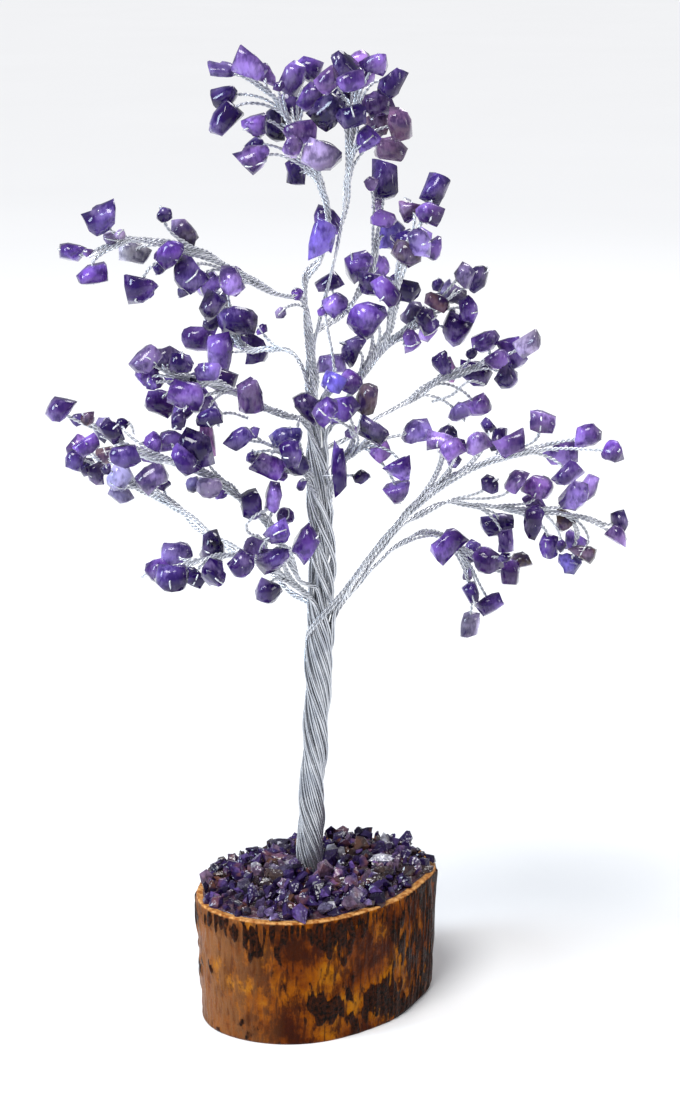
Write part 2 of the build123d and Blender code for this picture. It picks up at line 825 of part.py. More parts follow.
def drawn_strand(branch):
    """One faceted wire from the socket, up the rope and out along its branch."""
    points = branch["rope"] + branch["limb"]
    with BuildPart() as strand:
        with BuildLine() as route:
            Polyline(*points)
        with BuildSketch(Plane(origin=points[0], z_dir=points[1] - points[0])):
            RegularPolygon(strand_radius, strand_sides)
        sweep(path=route.wires()[0], transition=Transition.RIGHT)
    return strand.part


def drawn_twig(chip):
    """A square twig from the strand's side to just past its chip."""
    with BuildPart() as twig:
        with BuildSketch(Plane(Vector(*chip.foot), Vector(*chip.axes[2]), Vector(*chip.way))):
            Rectangle(twig_width, twig_width)
        extrude(amount=chip.twig_length)
    return twig.part


def drilled_chip(chip):
    """A tapered slab with the chip's outline, drilled along its twig."""
    hole_width = twig_width + 2 * drill_clearance
    with BuildPart() as stone:
        with BuildSketch(Plane.XY.offset(-chip.thickness / 2)):
            Polygon(*map(tuple, chip.flat.tolist()), align=None)
        extrude(amount=chip.thickness, taper=stone_draft)
        with BuildSketch(Plane.YZ if chip.lengthwise else Plane.XZ):
            Rectangle(hole_width, hole_width)
        extrude(amount=chip.length, both=True, mode=Mode.SUBTRACT)
    place = Plane(Vector(*chip.centre), Vector(*chip.axes[0]), Vector(*chip.axes[2]))
    return place.location * stone.part


for name, branch in branch_shares.items():
    strand = drawn_strand(branch)
    strand.label = name + "_strand"
    export_step(strand, "parts/" + strand.label + ".step")
    with BuildPart() as twigs:
        add([drawn_twig(chip) for chip in branch["chips"]])
    twigs.part.label = name + "_twigs"
    export_step(twigs.part, "parts/" + twigs.part.label + ".step")
    with BuildPart() as stones:
        add([drilled_chip(chip) for chip in branch["chips"]])
    stones.part.label = name + "_stones"
    export_step(stones.part, "parts/" + stones.part.label + ".step")


# Log slice
def slice_outline(share, rim=0):
    """The slice's outline, drawn in by a share of its radius and by the width of a rim."""
    places = []
    for i, radius_share in enumerate(slice_radius_shares):
        turn = radians(one_turn * i / len(slice_radius_shares))
        radius = slice_radius * radius_share * share - rim
        places.append((radius * cos(turn), radius * sin(turn)))
    return places


with BuildPart() as wood_slice:
    for height, share in ((0, slice_foot_share), (slice_height, 1)):
        with BuildSketch(Plane.XY.offset(height)):
            with BuildLine():
                Spline(*slice_outline(share), periodic=True)
            make_face()
    loft(ruled=True)
    with BuildSketch(Plane((trunk_x(slice_height), 0, slice_height))):
        Circle(rope_radius + socket_clearance)
    extrude(amount=-socket_depth, mode=Mode.SUBTRACT)
wood_slice.part.label = "wood_slice"
export_step(wood_slice.part, "parts/wood_slice.step")

# Resin bed
with BuildPart() as resin_bed:
    with BuildSketch(Plane.XY.offset(slice_height)):
        Polygon(*slice_outline(1, bed_rim), align=None)
        with Locations((trunk_x(slice_height), 0)):
            Circle(rope_radius + socket_clearance, mode=Mode.SUBTRACT)
    extrude(amount=bed_thickness)
resin_bed.part.label = "resin_bed"
export_step(resin_bed.part, "parts/resin_bed.step")


# Crushed stone
def bed_reach(turn):
    """How far the bed reaches from the axis in a direction."""
    turns = [one_turn * i / len(slice_radius_shares) for i in range(len(slice_radius_shares))]
    return slice_radius * float(np.interp(turn, turns, slice_radius_shares, period=one_turn)) - bed_rim


def crumb_places():
    """Places on a golden spiral between the trunk and the bed's rim, and each one's height."""
    least = abs(trunk_x(slice_height)) + rope_radius + socket_clearance + crumb_radius
    places = []
    for i in range(int((slice_radius / crumb_spread) ** 2)):
        radius = crumb_spread * sqrt(i)
        turn = golden_turn * i % one_turn
        reach = bed_reach(turn)
        if least < radius < reach - crumb_radius:
            height = crumb_height * crumb_height_shares[i % len(crumb_height_shares)]
            height += mound_rise * (1 - radius / reach)
            places.append((i, radius * cos(radians(turn)), radius * sin(radians(turn)), height))
    return places


def crumb(i, x, y, height):
    """A blunt tapered prism that stands on the bed."""
    spot = Plane.XY.offset(slice_height + bed_thickness) * Location((x, y), golden_turn * i)
    with BuildPart() as grain:
        with BuildSketch(spot):
            RegularPolygon(crumb_radius, crumb_sides_shares[i % len(crumb_sides_shares)])
        extrude(amount=height, taper=crumb_draft)
    return grain.part


for odd, tint in enumerate(("dark", "pale")):
    with BuildPart() as crumbs:
        add([crumb(*place) for place in crumb_places() if place[0] % 2 == odd])
    crumbs.part.label = "crushed_stone_" + tint
    export_step(crumbs.part, "parts/" + crumbs.part.label + ".step")
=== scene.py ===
import bpy
import numpy as np
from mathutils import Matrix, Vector


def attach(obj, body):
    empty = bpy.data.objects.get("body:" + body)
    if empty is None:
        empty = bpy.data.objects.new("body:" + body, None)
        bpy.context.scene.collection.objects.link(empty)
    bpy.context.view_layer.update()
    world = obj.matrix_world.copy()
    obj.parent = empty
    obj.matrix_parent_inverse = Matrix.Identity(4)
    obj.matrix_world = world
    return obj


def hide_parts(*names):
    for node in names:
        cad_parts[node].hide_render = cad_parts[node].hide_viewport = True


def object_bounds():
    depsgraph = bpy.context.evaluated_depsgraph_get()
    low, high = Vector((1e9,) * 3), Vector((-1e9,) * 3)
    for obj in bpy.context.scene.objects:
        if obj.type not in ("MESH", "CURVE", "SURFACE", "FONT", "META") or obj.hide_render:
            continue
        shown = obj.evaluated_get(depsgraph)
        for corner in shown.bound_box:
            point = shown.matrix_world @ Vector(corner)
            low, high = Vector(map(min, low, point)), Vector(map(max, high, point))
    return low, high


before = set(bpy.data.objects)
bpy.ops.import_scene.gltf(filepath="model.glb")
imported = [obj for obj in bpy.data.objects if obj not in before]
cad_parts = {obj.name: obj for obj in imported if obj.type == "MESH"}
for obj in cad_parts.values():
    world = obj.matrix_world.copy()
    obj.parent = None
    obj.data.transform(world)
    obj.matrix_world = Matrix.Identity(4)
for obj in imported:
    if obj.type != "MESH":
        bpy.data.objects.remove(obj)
cad_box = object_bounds()


# The log slice is a round sawn off a branch, oval, with its bark left on and varnished over.
# Flakes of the dark outer bark have come away all round and show the orange layer under it.
slice_height = 0.0345
slice_foot = 0.965
socket_room = 0.015
slice_columns = 600
slice_rows = 88
bark_relief = 0.00045
groove_relief = 0.00022
edge_round = 0.0006
underside = ((0.5, 0.0), (0.9, 0.0), (0.97, 0.0), (0.99, 0.0001))
sawn_top = ((0.988, 0.99985), (0.975, 1.0), (0.955, 0.9985), (0.935, 1.0), (0.9, 0.997), (0.5, 0.99))
sawn_edge = (0.0340, 0.0343)


def node_mesh(name):
    """A CAD node's corners with the doubles merged, and its triangles as rows of three corner numbers."""
    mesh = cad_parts[name].data
    points = np.zeros(len(mesh.vertices) * 3)
    mesh.vertices.foreach_get("co", points)
    corners = np.zeros(len(mesh.loops), int)
    mesh.loops.foreach_get("vertex_index", corners)
    merged, where = np.unique(points.reshape(-1, 3).round(7), axis=0, return_inverse=True)
    return merged, where.reshape(-1)[corners.reshape(-1, 3)]


def placed(name, data):
    """An object that holds a mesh, a light or a camera, put in the scene."""
    made = bpy.data.objects.new(name, data)
    bpy.context.scene.collection.objects.link(made)
    return made


def save_piece(name, points, faces, node, slot, material, smooth=True, **layers):
    """Turns points and faces into a piece that stands for a CAD node and rides with the ornament."""
    mesh = bpy.data.meshes.new(name)
    mesh.from_pydata(points.tolist(), [], faces)
    for title, values in layers.items():
        kind, field = ("FLOAT_COLOR", "color") if values.ndim == 2 else ("FLOAT", "value")
        mesh.attributes.new(title, kind, "POINT").data.foreach_set(field, values.ravel())
    mesh.polygons.foreach_set("use_smooth", [smooth] * len(mesh.polygons))
    mesh.materials.append(material)
    piece = placed(name, mesh)
    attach(piece, "root")
    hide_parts(node)


def turned_faces(rows, columns):
    """Faces of a grid of rows round an axis, its first and last rows single poles, its seam closed."""
    ring = np.arange(rows)[:, None] * columns + 1
    here = np.arange(columns)
    after = (here + 1) % columns
    low, high = ring[:-1], ring[1:]
    quads = np.stack([low + here, low + after, high + after, high + here], -1).reshape(-1, 4)
    first = np.stack([0 * here, 1 + after, 1 + here], -1)
    last = np.stack([0 * here + rows * columns + 1, ring[-1] + here, ring[-1] + after], -1)
    return quads.tolist() + first.tolist() + last.tolist()


def step_up(value, low, high):
    """0 below low, 1 above high, and a smooth rise between them: 3 t squared less 2 t cubed."""
    share = np.clip((value - low) / (high - low), 0, 1)
    return share * share * (3 - 2 * share)


def band(value, middle, reach):
    """1 at the middle, fading to both sides: e to the minus square of the distance over the reach."""
    return np.exp(-(((value - middle) / reach) ** 2))


def facing(turn, way, low, high):
    """1 where the log's side faces a way: a smooth step of the cosine of the angle between them."""
    return step_up(np.cos(turn - way), low, high)


def rippled(turn, rise, turns, most_rises, waves, seed):
    """A patchy value about 0: the sum of cosines that have random whole numbers of waves round the
    log, random numbers of waves up it and random starts, over the root of half their number."""
    chance = np.random.default_rng(seed)
    total = np.zeros_like(turn)
    for wave in range(waves):
        round_it = chance.integers(turns[0], turns[1] + 1)
        up_it = chance.uniform(-most_rises, most_rises)
        total += np.cos(round_it * turn + 2 * np.pi * up_it * rise + chance.uniform(0, 2 * np.pi))
    return total / np.sqrt(waves / 2)


slice_corners, _ = node_mesh("wood_slice")
on_rim = (slice_corners[:, 2] > slice_height - 1e-5) & (np.hypot(*slice_corners[:, :2].T) > socket_room)
rim_x, rim_y = slice_corners[on_rim, :2].T
rim_turns, rim_radii = np.arctan2(rim_y, rim_x), np.hypot(rim_x, rim_y)


def rim_radius(turn):
    """How far the slice's rim is from the axis in a direction, read between the CAD rim's corners."""
    return np.interp(turn, rim_turns, rim_radii, period=2 * np.pi)


# The profile, as shares of the rim's radius and of the height, turned round the axis.
slice_turns = np.linspace(-np.pi, np.pi, slice_columns, endpoint=False)
side_rises = np.linspace(edge_round / slice_height, 1 - edge_round / slice_height, slice_rows)
profile = np.array([*underside, *[(1.0, side_rise) for side_rise in side_rises], *sawn_top])
share, turn = np.meshgrid(profile[:, 0], slice_turns, indexing="ij")
rise = np.repeat(profile[:, 1:], slice_columns, 1)
# The dark bark stays in patches and flecks, under the rim and near the foot in front, on the right
# and at the back. It stands proud of the layer under it, and both are grooved up and down.
patches = rippled(turn, rise, (2, 9), 2.2, 40, 11)
flecks = rippled(turn, rise, (12, 60), 6, 70, 12)
grooves = rippled(turn, rise, (40, 150), 1.6, 60, 13)
under_rim = band(rise, 0.9, 0.1) * facing(turn, -2.2, -0.2, 0.5)
near_foot = band(rise, 0.2, 0.2) * facing(turn, -1.1, 0.1, 0.8)
dark_side = facing(turn, -0.05, 0.62, 0.98) + facing(turn, 2.3, 0.8, 1.0)
darkness = 0.4 * patches + 0.35 * flecks - 0.75
darkness += under_rim * (1.1 + 0.4 * grooves) + near_foot * (0.6 + 0.5 * patches)
darkness += dark_side * (1.2 + 0.5 * grooves)
bark = step_up(darkness, -0.9, 0.9)
on_side = step_up(rise, 0.0, 0.05) * step_up(1 - rise, 0.0, 0.03) * (share == 1)
grooving = groove_relief * (0.6 * grooves + 0.3 * flecks)
relief = bark_relief * (bark - 0.55) + grooving * (0.35 + 0.65 * bark)
radius = rim_radius(turn) * (slice_foot + (1 - slice_foot) * rise) * share + relief * on_side
slice_grid = np.stack([radius * np.cos(turn), radius * np.sin(turn), rise * slice_height], -1)
top_middle = [0, 0, slice_height * sawn_top[-1][1]]
slice_points = np.concatenate([[[0, 0, 0]], slice_grid.reshape(-1, 3), [top_middle]])


class Finish:
    """A material's node tree, or one socket of it: sums and products of sockets add Math nodes."""

    def __init__(self, tree, socket=None):
        self.tree = tree
        self.socket = socket

    @classmethod
    def named(cls, name):
        material = bpy.data.materials.new(name)
        material.use_nodes = True
        material.node_tree.nodes.clear()
        return cls(material.node_tree), material

    def node(self, kind, sockets, output=0, ramp=None, **settings):
        """Adds a node, its settings and a ramp's stops first, then the values or links of its sockets."""
        made = self.tree.nodes.new("ShaderNode" + kind)
        for title, value in settings.items():
            setattr(made, title, value)
        if ramp:
            while len(made.color_ramp.elements) < len(ramp):
                made.color_ramp.elements.new(0.5)
            for stop, (place, colour) in zip(made.color_ramp.elements, ramp):
                stop.position = place
                stop.color = colour
        for key, value in sockets.items():
            if isinstance(value, Finish):
                self.tree.links.new(value.socket, made.inputs[key])
            else:
                made.inputs[key].default_value = value
        return Finish(self.tree, made.outputs[output]) if made.outputs else None

    def maths(self, operation, first, second):
        return self.node("Math", {0: first, 1: second}, operation=operation)

    def __add__(self, other):
        return self.maths("ADD", self, other)

    def __sub__(self, other):
        return self.maths("SUBTRACT", self, other)

    def __rsub__(self, other):
        return self.maths("SUBTRACT", other, self)

    def __mul__(self, other):
        return self.maths("MULTIPLY", self, other)

    __radd__ = __add__
    __rmul__ = __mul__

    def between(self, low, high):
        """0 below low, 1 above high, and a straight rise between them."""
        return self.node("MapRange", {0: self, 1: low, 2: high})

    def blend(self, first, second):
        """This mask's mix of two colours, the first where it is 0."""
        return self.node("Mix", {0: self, 6: first, 7: second}, output=2, data_type="RGBA")

    def mixed(self, share, other):
        """This colour with a share of another one in it."""
        return self.node("Mix", {0: share, 6: self, 7: other}, output=2, data_type="RGBA")

    def here(self):
        """The piece's own coordinates in metres."""
        return self.node("TexCoord", {}, output=3)

    def places(self, stretch=(1, 1, 1), turn=(0, 0, 0)):
        """The piece's own coordinates, stretched and turned."""
        return self.node("Mapping", {"Vector": self.here(), "Scale": stretch, "Rotation": turn})

    def cloud(self, where, size, detail=4.0, rough=0.55):
        """Soft noise whose patches are about this many metres across."""
        return self.node("TexNoise", {
            "Vector": where, "Scale": 1 / size, "Detail": detail, "Roughness": rough})

    def attribute(self, name, output=2):
        return self.node("Attribute", {}, output=output, attribute_name=name)

    def bumped(self, height, depth, strength=1.0):
        return self.node("Bump", {"Height": height, "Distance": depth, "Strength": strength})

    def shine(self, sockets):
        """Closes the tree: the main shader with these sockets, to the surface."""
        surface = self.node("BsdfPrincipled", sockets)
        self.node("OutputMaterial", {"Surface": surface})


def paint(red, green, blue):
    """A display colour, 0 to 255 a channel, as the linear colour that a shader takes."""
    shown = np.array([red, green, blue]) / 255
    linear = np.where(shown < 0.04045, shown / 12.92, ((shown + 0.055) / 1.055) ** 2.4)
    return (*linear.tolist(), 1.0)


wood, wood_finish = Finish.named("varnished_bark")
patch_cloud = wood.cloud(wood.places(), 0.012, detail=5)
grain_cloud = wood.cloud(wood.places(stretch=(1, 1, 0.22)), 0.0012, detail=6)
fine_cloud = wood.cloud(wood.places(), 0.0009)
speck_cloud = wood.cloud(wood.places(stretch=(1, 1, 0.45)), 0.0042, detail=7, rough=0.65)
mottle_cloud = wood.cloud(wood.places(stretch=(1, 1, 0.6)), 0.0052, detail=8, rough=0.72)
across_slice, up_slice = [wood.node("SeparateXYZ", {0: wood.here()}, output=axis) for axis in (0, 2)]
under_bark = wood.node("ValToRGB", {0: patch_cloud}, ramp=(
    (0.36, paint(58, 20, 0)), (0.44, paint(108, 48, 0)),
    (0.54, paint(142, 75, 0)), (0.66, paint(178, 112, 8))))
mottled = (0.85 * mottle_cloud.between(0.49, 0.57)).blend(under_bark, paint(56, 16, 2))
streaked = (0.75 * grain_cloud.between(0.5, 0.6)).blend(mottled, paint(50, 15, 2))
# Painted light: the log's left side, towards the left light, is painted paler, with the grain's dark streaks
# kept in it.
lit_left_share = across_slice.between(-0.008, -0.026) * (0.25 + 0.6 * grain_cloud.between(0.36, 0.58))
lit_left_side = lit_left_share.blend(streaked, paint(138, 90, 52))
worn = 0.8 * wood.attribute("bark") + 1.9 * (speck_cloud - 0.5) + 0.8 * (grain_cloud - 0.5)
flake_colour = fine_cloud.between(0.4, 0.66).blend(paint(12, 4, 1), paint(60, 24, 6))
side_colour = worn.between(0.42, 0.58).blend(lit_left_side, flake_colour)
sawn_colour = grain_cloud.between(0.4, 0.62).blend(paint(216, 160, 96), paint(150, 86, 34))
wood.shine({
    "Base Color": up_slice.between(*sawn_edge).blend(side_colour, sawn_colour),
    "Roughness": 0.16 + 0.3 * fine_cloud,
    "Specular IOR Level": 0.07,
    "Normal": wood.bumped(0.5 * grain_cloud + 0.3 * fine_cloud + 0.5 * speck_cloud, 0.0008)})
save_piece("log_slice", slice_points, turned_faces(len(profile), slice_columns), "wood_slice",
           "bark_wood", wood_finish, bark=np.concatenate([[0.0], bark.ravel(), [0.0]]))


# The glue that holds the crushed stone and the trunk's foot: poured clear over the slice's top,
# it has sunk between the stones and rises a little round the trunk. It shows only in the gaps.
heap_middle = 0.0030
broad_swell = 0.0005
rim_swell = 0.0003
glue_rim = 0.0019
glue_fill = 0.62
glue_pits = 0.00035
glue_middle = 0.002
glue_floor = slice_height * 0.985
glue_columns = 160
glue_rows = 44


def heap_height(turn, out):
    """How high the bed of stone is, from the log's top: a low dome, highest at the trunk, its skirt
    steep at the rim, with broad swells. out is 0 at the trunk and 1 at the rim."""
    swell = broad_swell * np.cos(2 * turn - 0.9) + rim_swell * np.cos(5 * turn + 1.3) * out
    return (heap_middle + swell) * (1 - 0.55 * out**2) * step_up(1 - out, -0.02, 0.12)


glue_turns = np.linspace(-np.pi, np.pi, glue_columns, endpoint=False)
glue_outs = np.linspace(1 / glue_rows, 1, glue_rows)
out, turn = np.meshgrid(glue_outs, glue_turns, indexing="ij")
pits = rippled(turn, out * 4, (0, 26), 3, 50, 21)
glue_top = slice_height + heap_height(turn, out) * glue_fill + glue_pits * pits * step_up(1 - out, 0, 0.1)
reach = (rim_radius(turn) - glue_rim) * out
glue_grid = np.stack([reach * np.cos(turn), reach * np.sin(turn), glue_top], -1)[::-1]
glue_under = glue_grid[:1] * [0.98, 0.98, 0] + [0, 0, glue_floor]
glue_points = np.concatenate([[[0, 0, glue_floor]], glue_under.reshape(-1, 3), glue_grid.reshape(-1, 3),
                              [[0, 0, slice_height + glue_middle]]])
glue, glue_finish = Finish.named("set_glue")
glue_patches = glue.cloud(glue.places(), 0.0035)
glue.shine({
    "Base Color": glue_patches.between(0.35, 0.68).blend(paint(34, 18, 52), paint(98, 66, 70)),
    "Roughness": 0.12 + 0.15 * glue_patches,
    "Coat Weight": 0.5,
    "Coat Roughness": 0.06,
    "Normal": glue.bumped(glue.cloud(glue.places(), 0.0012), 0.0005)})
save_piece("glue_bed", glue_points, turned_faces(glue_rows + 1, glue_columns), "resin_bed", "resin",
           glue_finish)


# The crushed stone on the bed is chip factory sweepings: amethyst from near black to lilac, with
# clear quartz, grey and a few rusty bits. Splinters of 2 to 5 mm, heaped and pressed into the glue.
splinters = 500
splinter_radius = 0.00215
splinter_sizes = (0.6, 0.8, 1.0, 1.25, 1.6)
size_odds = (0.2, 0.28, 0.27, 0.17, 0.08)
splinter_lift = (-0.0002, 0.0010)
splinter_stray = (0.0006, 0.0006, 0.0002)
rim_gap = 0.0002
trunk_foot = (-0.0015, 0.0)
trunk_room = 0.0046
# Tints: K near black, D dark, V violet, M middling, L lilac, P pale, W white, R rose, B brown,
# G grey and U blue violet, its blue partly the chip's own colour and partly a painted blue-white reflection.
tint_paints = {
    "K": (20, 5, 50), "D": (52, 26, 98), "V": (94, 56, 150), "M": (114, 78, 160), "L": (146, 114, 190),
    "P": (184, 164, 212), "W": (222, 216, 232), "R": (160, 118, 160), "B": (100, 74, 66),
    "G": (104, 92, 132), "U": (108, 90, 192)}
# From dark to pale: the first thirteen make the dark piece.
splinter_tints = "KKKKKKDDDDDVVBMBGLRRLBGWPW"
dark_tints = 13
clear_shares = {"dark": 0.0, "pale": 0.35}
golden_turn = np.pi * (3 - np.sqrt(5))
golden = (1 + np.sqrt(5)) / 2
ball_corners = np.array([
    [0, 1, golden], [0, -1, golden], [0, 1, -golden], [0, -1, -golden],
    [1, golden, 0], [-1, golden, 0], [1, -golden, 0], [-1, -golden, 0],
    [golden, 0, 1], [golden, 0, -1], [-golden, 0, 1], [-golden, 0, -1]]) / np.hypot(1, golden)
ball_faces = np.array([
    [0, 1, 8], [0, 8, 4], [0, 4, 5], [0, 5, 10], [0, 10, 1], [1, 6, 8], [8, 6, 9], [8, 9, 4], [4, 9, 2],
    [4, 2, 5], [5, 2, 11], [5, 11, 10], [10, 11, 7], [10, 7, 1], [1, 7, 6], [3, 9, 6], [3, 2, 9],
    [3, 11, 2], [3, 7, 11], [3, 6, 7]])


def unit(vectors):
    return vectors / np.linalg.norm(vectors, axis=-1, keepdims=True)


def random_turns(count, chance):
    """Rotation matrices spread evenly over all turns, from four normal numbers each as a quaternion."""
    w, x, y, z = unit(chance.normal(size=(count, 4))).T
    return np.stack([
        1 - 2 * (y * y + z * z), 2 * (x * y - z * w), 2 * (x * z + y * w),
        2 * (x * y + z * w), 1 - 2 * (x * x + z * z), 2 * (y * z - x * w),
        2 * (x * z - y * w), 2 * (y * z + x * w), 1 - 2 * (x * x + y * y)], -1).reshape(-1, 3, 3)


def splinter_shapes(count, chance):
    """Broken grains: a ball of twelve corners and twenty faces, drawn out to a random length and
    width, then cut flat by four random planes: a corner beyond a plane drops onto it."""
    spans = chance.uniform([0.7, 0.55, 0.4], [1.7, 1.1, 0.8], (count, 3))
    grains = ball_corners * spans[:, None]
    for cut in range(4):
        way = unit(chance.normal(size=(count, 3)))
        cut_depth = chance.uniform(0.28, 0.62, count)[:, None]
        beyond = np.maximum((grains * way[:, None]).sum(-1) - cut_depth, 0)
        grains = grains - beyond[..., None] * way[:, None]
    return np.einsum("nij,nkj->nki", random_turns(count, chance), grains)


# The splinters' spots run out from the trunk on a spiral, a golden turn from each to the next.
chance = np.random.default_rng(31)
number = np.arange(splinters)
spot_turns = (number * golden_turn + np.pi) % (2 * np.pi) - np.pi
spot_outs = np.sqrt((number + 0.5) / splinters)
spot_reach = (rim_radius(spot_turns) - glue_rim - rim_gap) * spot_outs
sizes = splinter_radius * chance.choice(splinter_sizes, splinters, p=size_odds)
lift = chance.uniform(*splinter_lift, splinters) + 0.25 * sizes
spots = np.stack([spot_reach * np.cos(spot_turns), spot_reach * np.sin(spot_turns),
                  slice_height + heap_height(spot_turns, spot_outs) + lift], -1)
spots += chance.normal(size=spots.shape) * splinter_stray
grains = splinter_shapes(splinters, chance) * sizes[:, None, None] + spots[:, None]
clear_of_trunk = np.hypot(*(spots[:, :2] - trunk_foot).T) > trunk_room
mood = 0.6 * rippled(spot_turns, spot_outs, (1, 6), 1.6, 14, 33) + 0.75 * chance.normal(size=splinters)
tint_count = len(splinter_tints)
tint_number = np.clip((mood / 3.6 + 0.45) * tint_count, 0, tint_count - 1).astype(int)
colours = np.array([paint(*tint_paints[letter]) for letter in splinter_tints])[tint_number]
colours[:, :3] = 0.76 * colours[:, :3] + 0.24 * colours[:, :3].mean(1)[:, None]
colours[:, :3] *= chance.uniform(0.38, 0.98, (splinters, 1))
for tint, clear_share in clear_shares.items():
    mine = clear_of_trunk & ((tint_number < dark_tints) == (tint == "dark"))
    first_corners = np.arange(mine.sum())[:, None, None] * len(ball_corners)
    faces = (first_corners + ball_faces).reshape(-1, 3)
    stone, stone_finish = Finish.named("crushed_amethyst_" + tint)
    stone_cloud = stone.cloud(stone.places(), 0.0016)
    stone_grain = stone.node("TexVoronoi", {"Vector": stone.places(), "Scale": 1100.0})
    stone_tint = stone.attribute("tint", 0)
    stone_depths = (stone_cloud - 0.25 * (stone_grain - 0.5)).between(0.4, 0.62)
    stone_body = stone_depths.blend(stone_tint.mixed(0.6, paint(26, 8, 44)), stone_tint)
    rusty_share = 0.8 * stone.cloud(stone.places(), 0.006, detail=2).between(0.56, 0.66)
    stone.shine({
        "Base Color": rusty_share.blend(stone_body, stone_tint.mixed(0.45, paint(150, 92, 60))),
        "Roughness": 0.03 + 0.14 * stone_cloud,
        "IOR": 1.54,
        "Specular IOR Level": 0.35,
        "Transmission Weight": clear_share,
        "Normal": stone.bumped(stone_grain + 0.6 * stone_cloud, 0.0003, 0.4)})
    save_piece("crushed_amethyst_" + tint, grains[mine].reshape(-1, 3), faces.tolist(),
               "crushed_stone_" + tint, "crushed_" + tint, stone_finish, smooth=False,
               tint=np.repeat(colours[mine], len(ball_corners), 0))


# The trunk and its branches: bundles of bright craft wire. In the trunk the bundles are laid up
# left-handed round each other, and each one leaves at its own height, twisted hard as a branch.
branches = [name.removesuffix("_branch_strand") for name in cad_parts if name.endswith("_strand")]
strand_corners = 5
line_step = 0.0006
wires_in_strand = 4
wire_sides = 6
strand_wire = 0.0003
strand_bundle = 0.00038
branch_loosening = 0.05
bundle_taper = 0.75
branch_thinning = 0.25
wire_taper = 0.25
wander_length = 0.0031
trunk_turn_length = 0.11
branch_turn_length = 0.0062
rope_pitch = 0.053
rope_lobes = 0.17
trunk_reach = 0.0032
trunk_narrowing = np.array([
    (0.034, 0.98), (0.046, 0.94), (0.062, 0.84), (0.085, 0.88), (0.103, 1.06), (0.125, 1.02), (0.17, 1.0)])
leaving_reach = (0.0038, 0.009)
trunk_end = (0.150, 0.168)
# Painted shade on the trunk: its wires keep this share of their bright colour, more of it high up, and the
# branches' grooves keep the last share.
trunk_unshaded = 0.67
upper_trunk_unshaded = 0.15
upper_trunk = (0.095, 0.125)
branch_groove_unshaded = 0.6
drawing_depth = 0.00002


def ring_middles(name):
    """The middle line of a strand: its corners are taken ring by ring from the foot, each ring being
    the corners that a triangle joins to the one before, and each ring's mean is a point."""
    points, triangles = node_mesh(name)
    ring = np.full(len(points), -1)
    ring[np.argsort(points[:, 2])[:strand_corners]] = 0
    level = 0
    while (ring < 0).any():
        touched = triangles[(ring[triangles] == level).any(1)].ravel()
        ring[touched[ring[touched] < 0]] = level + 1
        level += 1
    totals = np.zeros((level + 1, 3))
    np.add.at(totals, ring, points)
    return totals / np.bincount(ring)[:, None]


def run_lengths(points):
    """How far along a line each of its points is, by the chords up to it."""
    return np.concatenate([[0], np.cumsum(np.linalg.norm(np.diff(points, axis=0), axis=1))])


def cubic(start, start_slope, end, end_slope, t):
    """The cubic curve from a start to an end with these slopes there, at shares t of the way."""
    return (start * (1 + 2 * t) * (1 - t) ** 2 + end * (3 - 2 * t) * t**2
            + start_slope * t * (1 - t) ** 2 - end_slope * t**2 * (1 - t))


def smooth_line(knots, step):
    """A curve through the knots: between two of them the cubic whose slopes at its ends are those of
    the chord between each knot's neighbours, read at even steps of the chords' length."""
    along = run_lengths(knots)
    slopes = np.gradient(knots, along, axis=0)
    where = np.linspace(0, along[-1], int(along[-1] / step) + 1)
    span = np.clip(np.searchsorted(along, where, side="right") - 1, 0, len(knots) - 2)
    length = (along[span + 1] - along[span])[:, None]
    t = (where - along[span])[:, None] / length
    return cubic(knots[span], slopes[span] * length, knots[span + 1], slopes[span + 1] * length, t)


def carried_sides(lines):
    """Two side directions that are carried along lines without turning about them: each step drops
    from the last side what lies along the new heading. Lines are stacked, stations second to last."""
    ways = unit(np.gradient(lines, axis=-2))
    sides = np.zeros_like(ways)
    seed = np.where(np.abs(ways[..., 0, 2:]) < 0.8, [[0.0, 0.0, 1.0]], [[1.0, 0.0, 0.0]])
    side = unit(np.cross(ways[..., 0, :], seed.reshape(ways[..., 0, :].shape)))
    for station in range(lines.shape[-2]):
        way = ways[..., station, :]
        side = unit(side - (side * way).sum(-1, keepdims=True) * way)
        sides[..., station, :] = side
    return sides, np.cross(ways, sides)


def spoke(angle, first, second):
    """The direction at an angle from a first side to a second: its cosine of one, sine of the other."""
    return np.cos(angle)[..., None] * first + np.sin(angle)[..., None] * second


def wire_tubes(lines, radii, sides, middles):
    """Round wires on stacked lines: a circle of the radius at each station, square to the line. Their
    points, faces with both ends closed, and each point's share of unshaded colour against the painted
    groove shade: 1 where it looks away from the middle of its bundle, 0 where it looks into the groove
    between wires."""
    first, second = carried_sides(lines)
    rim = spoke(np.arange(sides) * 2 * np.pi / sides, first[..., None, :], second[..., None, :])
    points = lines[..., None, :] + rim * radii[..., None, None]
    outward = (rim * unit(lines - middles)[..., None, :]).sum(-1)
    count, stations = lines.shape[:2]
    start = (np.arange(count) * stations * sides)[:, None, None]
    ring = start + (np.arange(stations - 1) * sides)[:, None]
    here = np.arange(sides)
    after = (here + 1) % sides
    quads = np.stack([ring + here, ring + after, ring + sides + after, ring + sides + here], -1)
    first_cap = start[:, 0] + here[::-1]
    last_cap = start[:, 0] + (stations - 1) * sides + here
    faces = quads.reshape(-1, 4).tolist() + first_cap.tolist() + last_cap.tolist()
    return points.reshape(-1, 3), faces, step_up(outward, -0.6, 0.5).ravel()


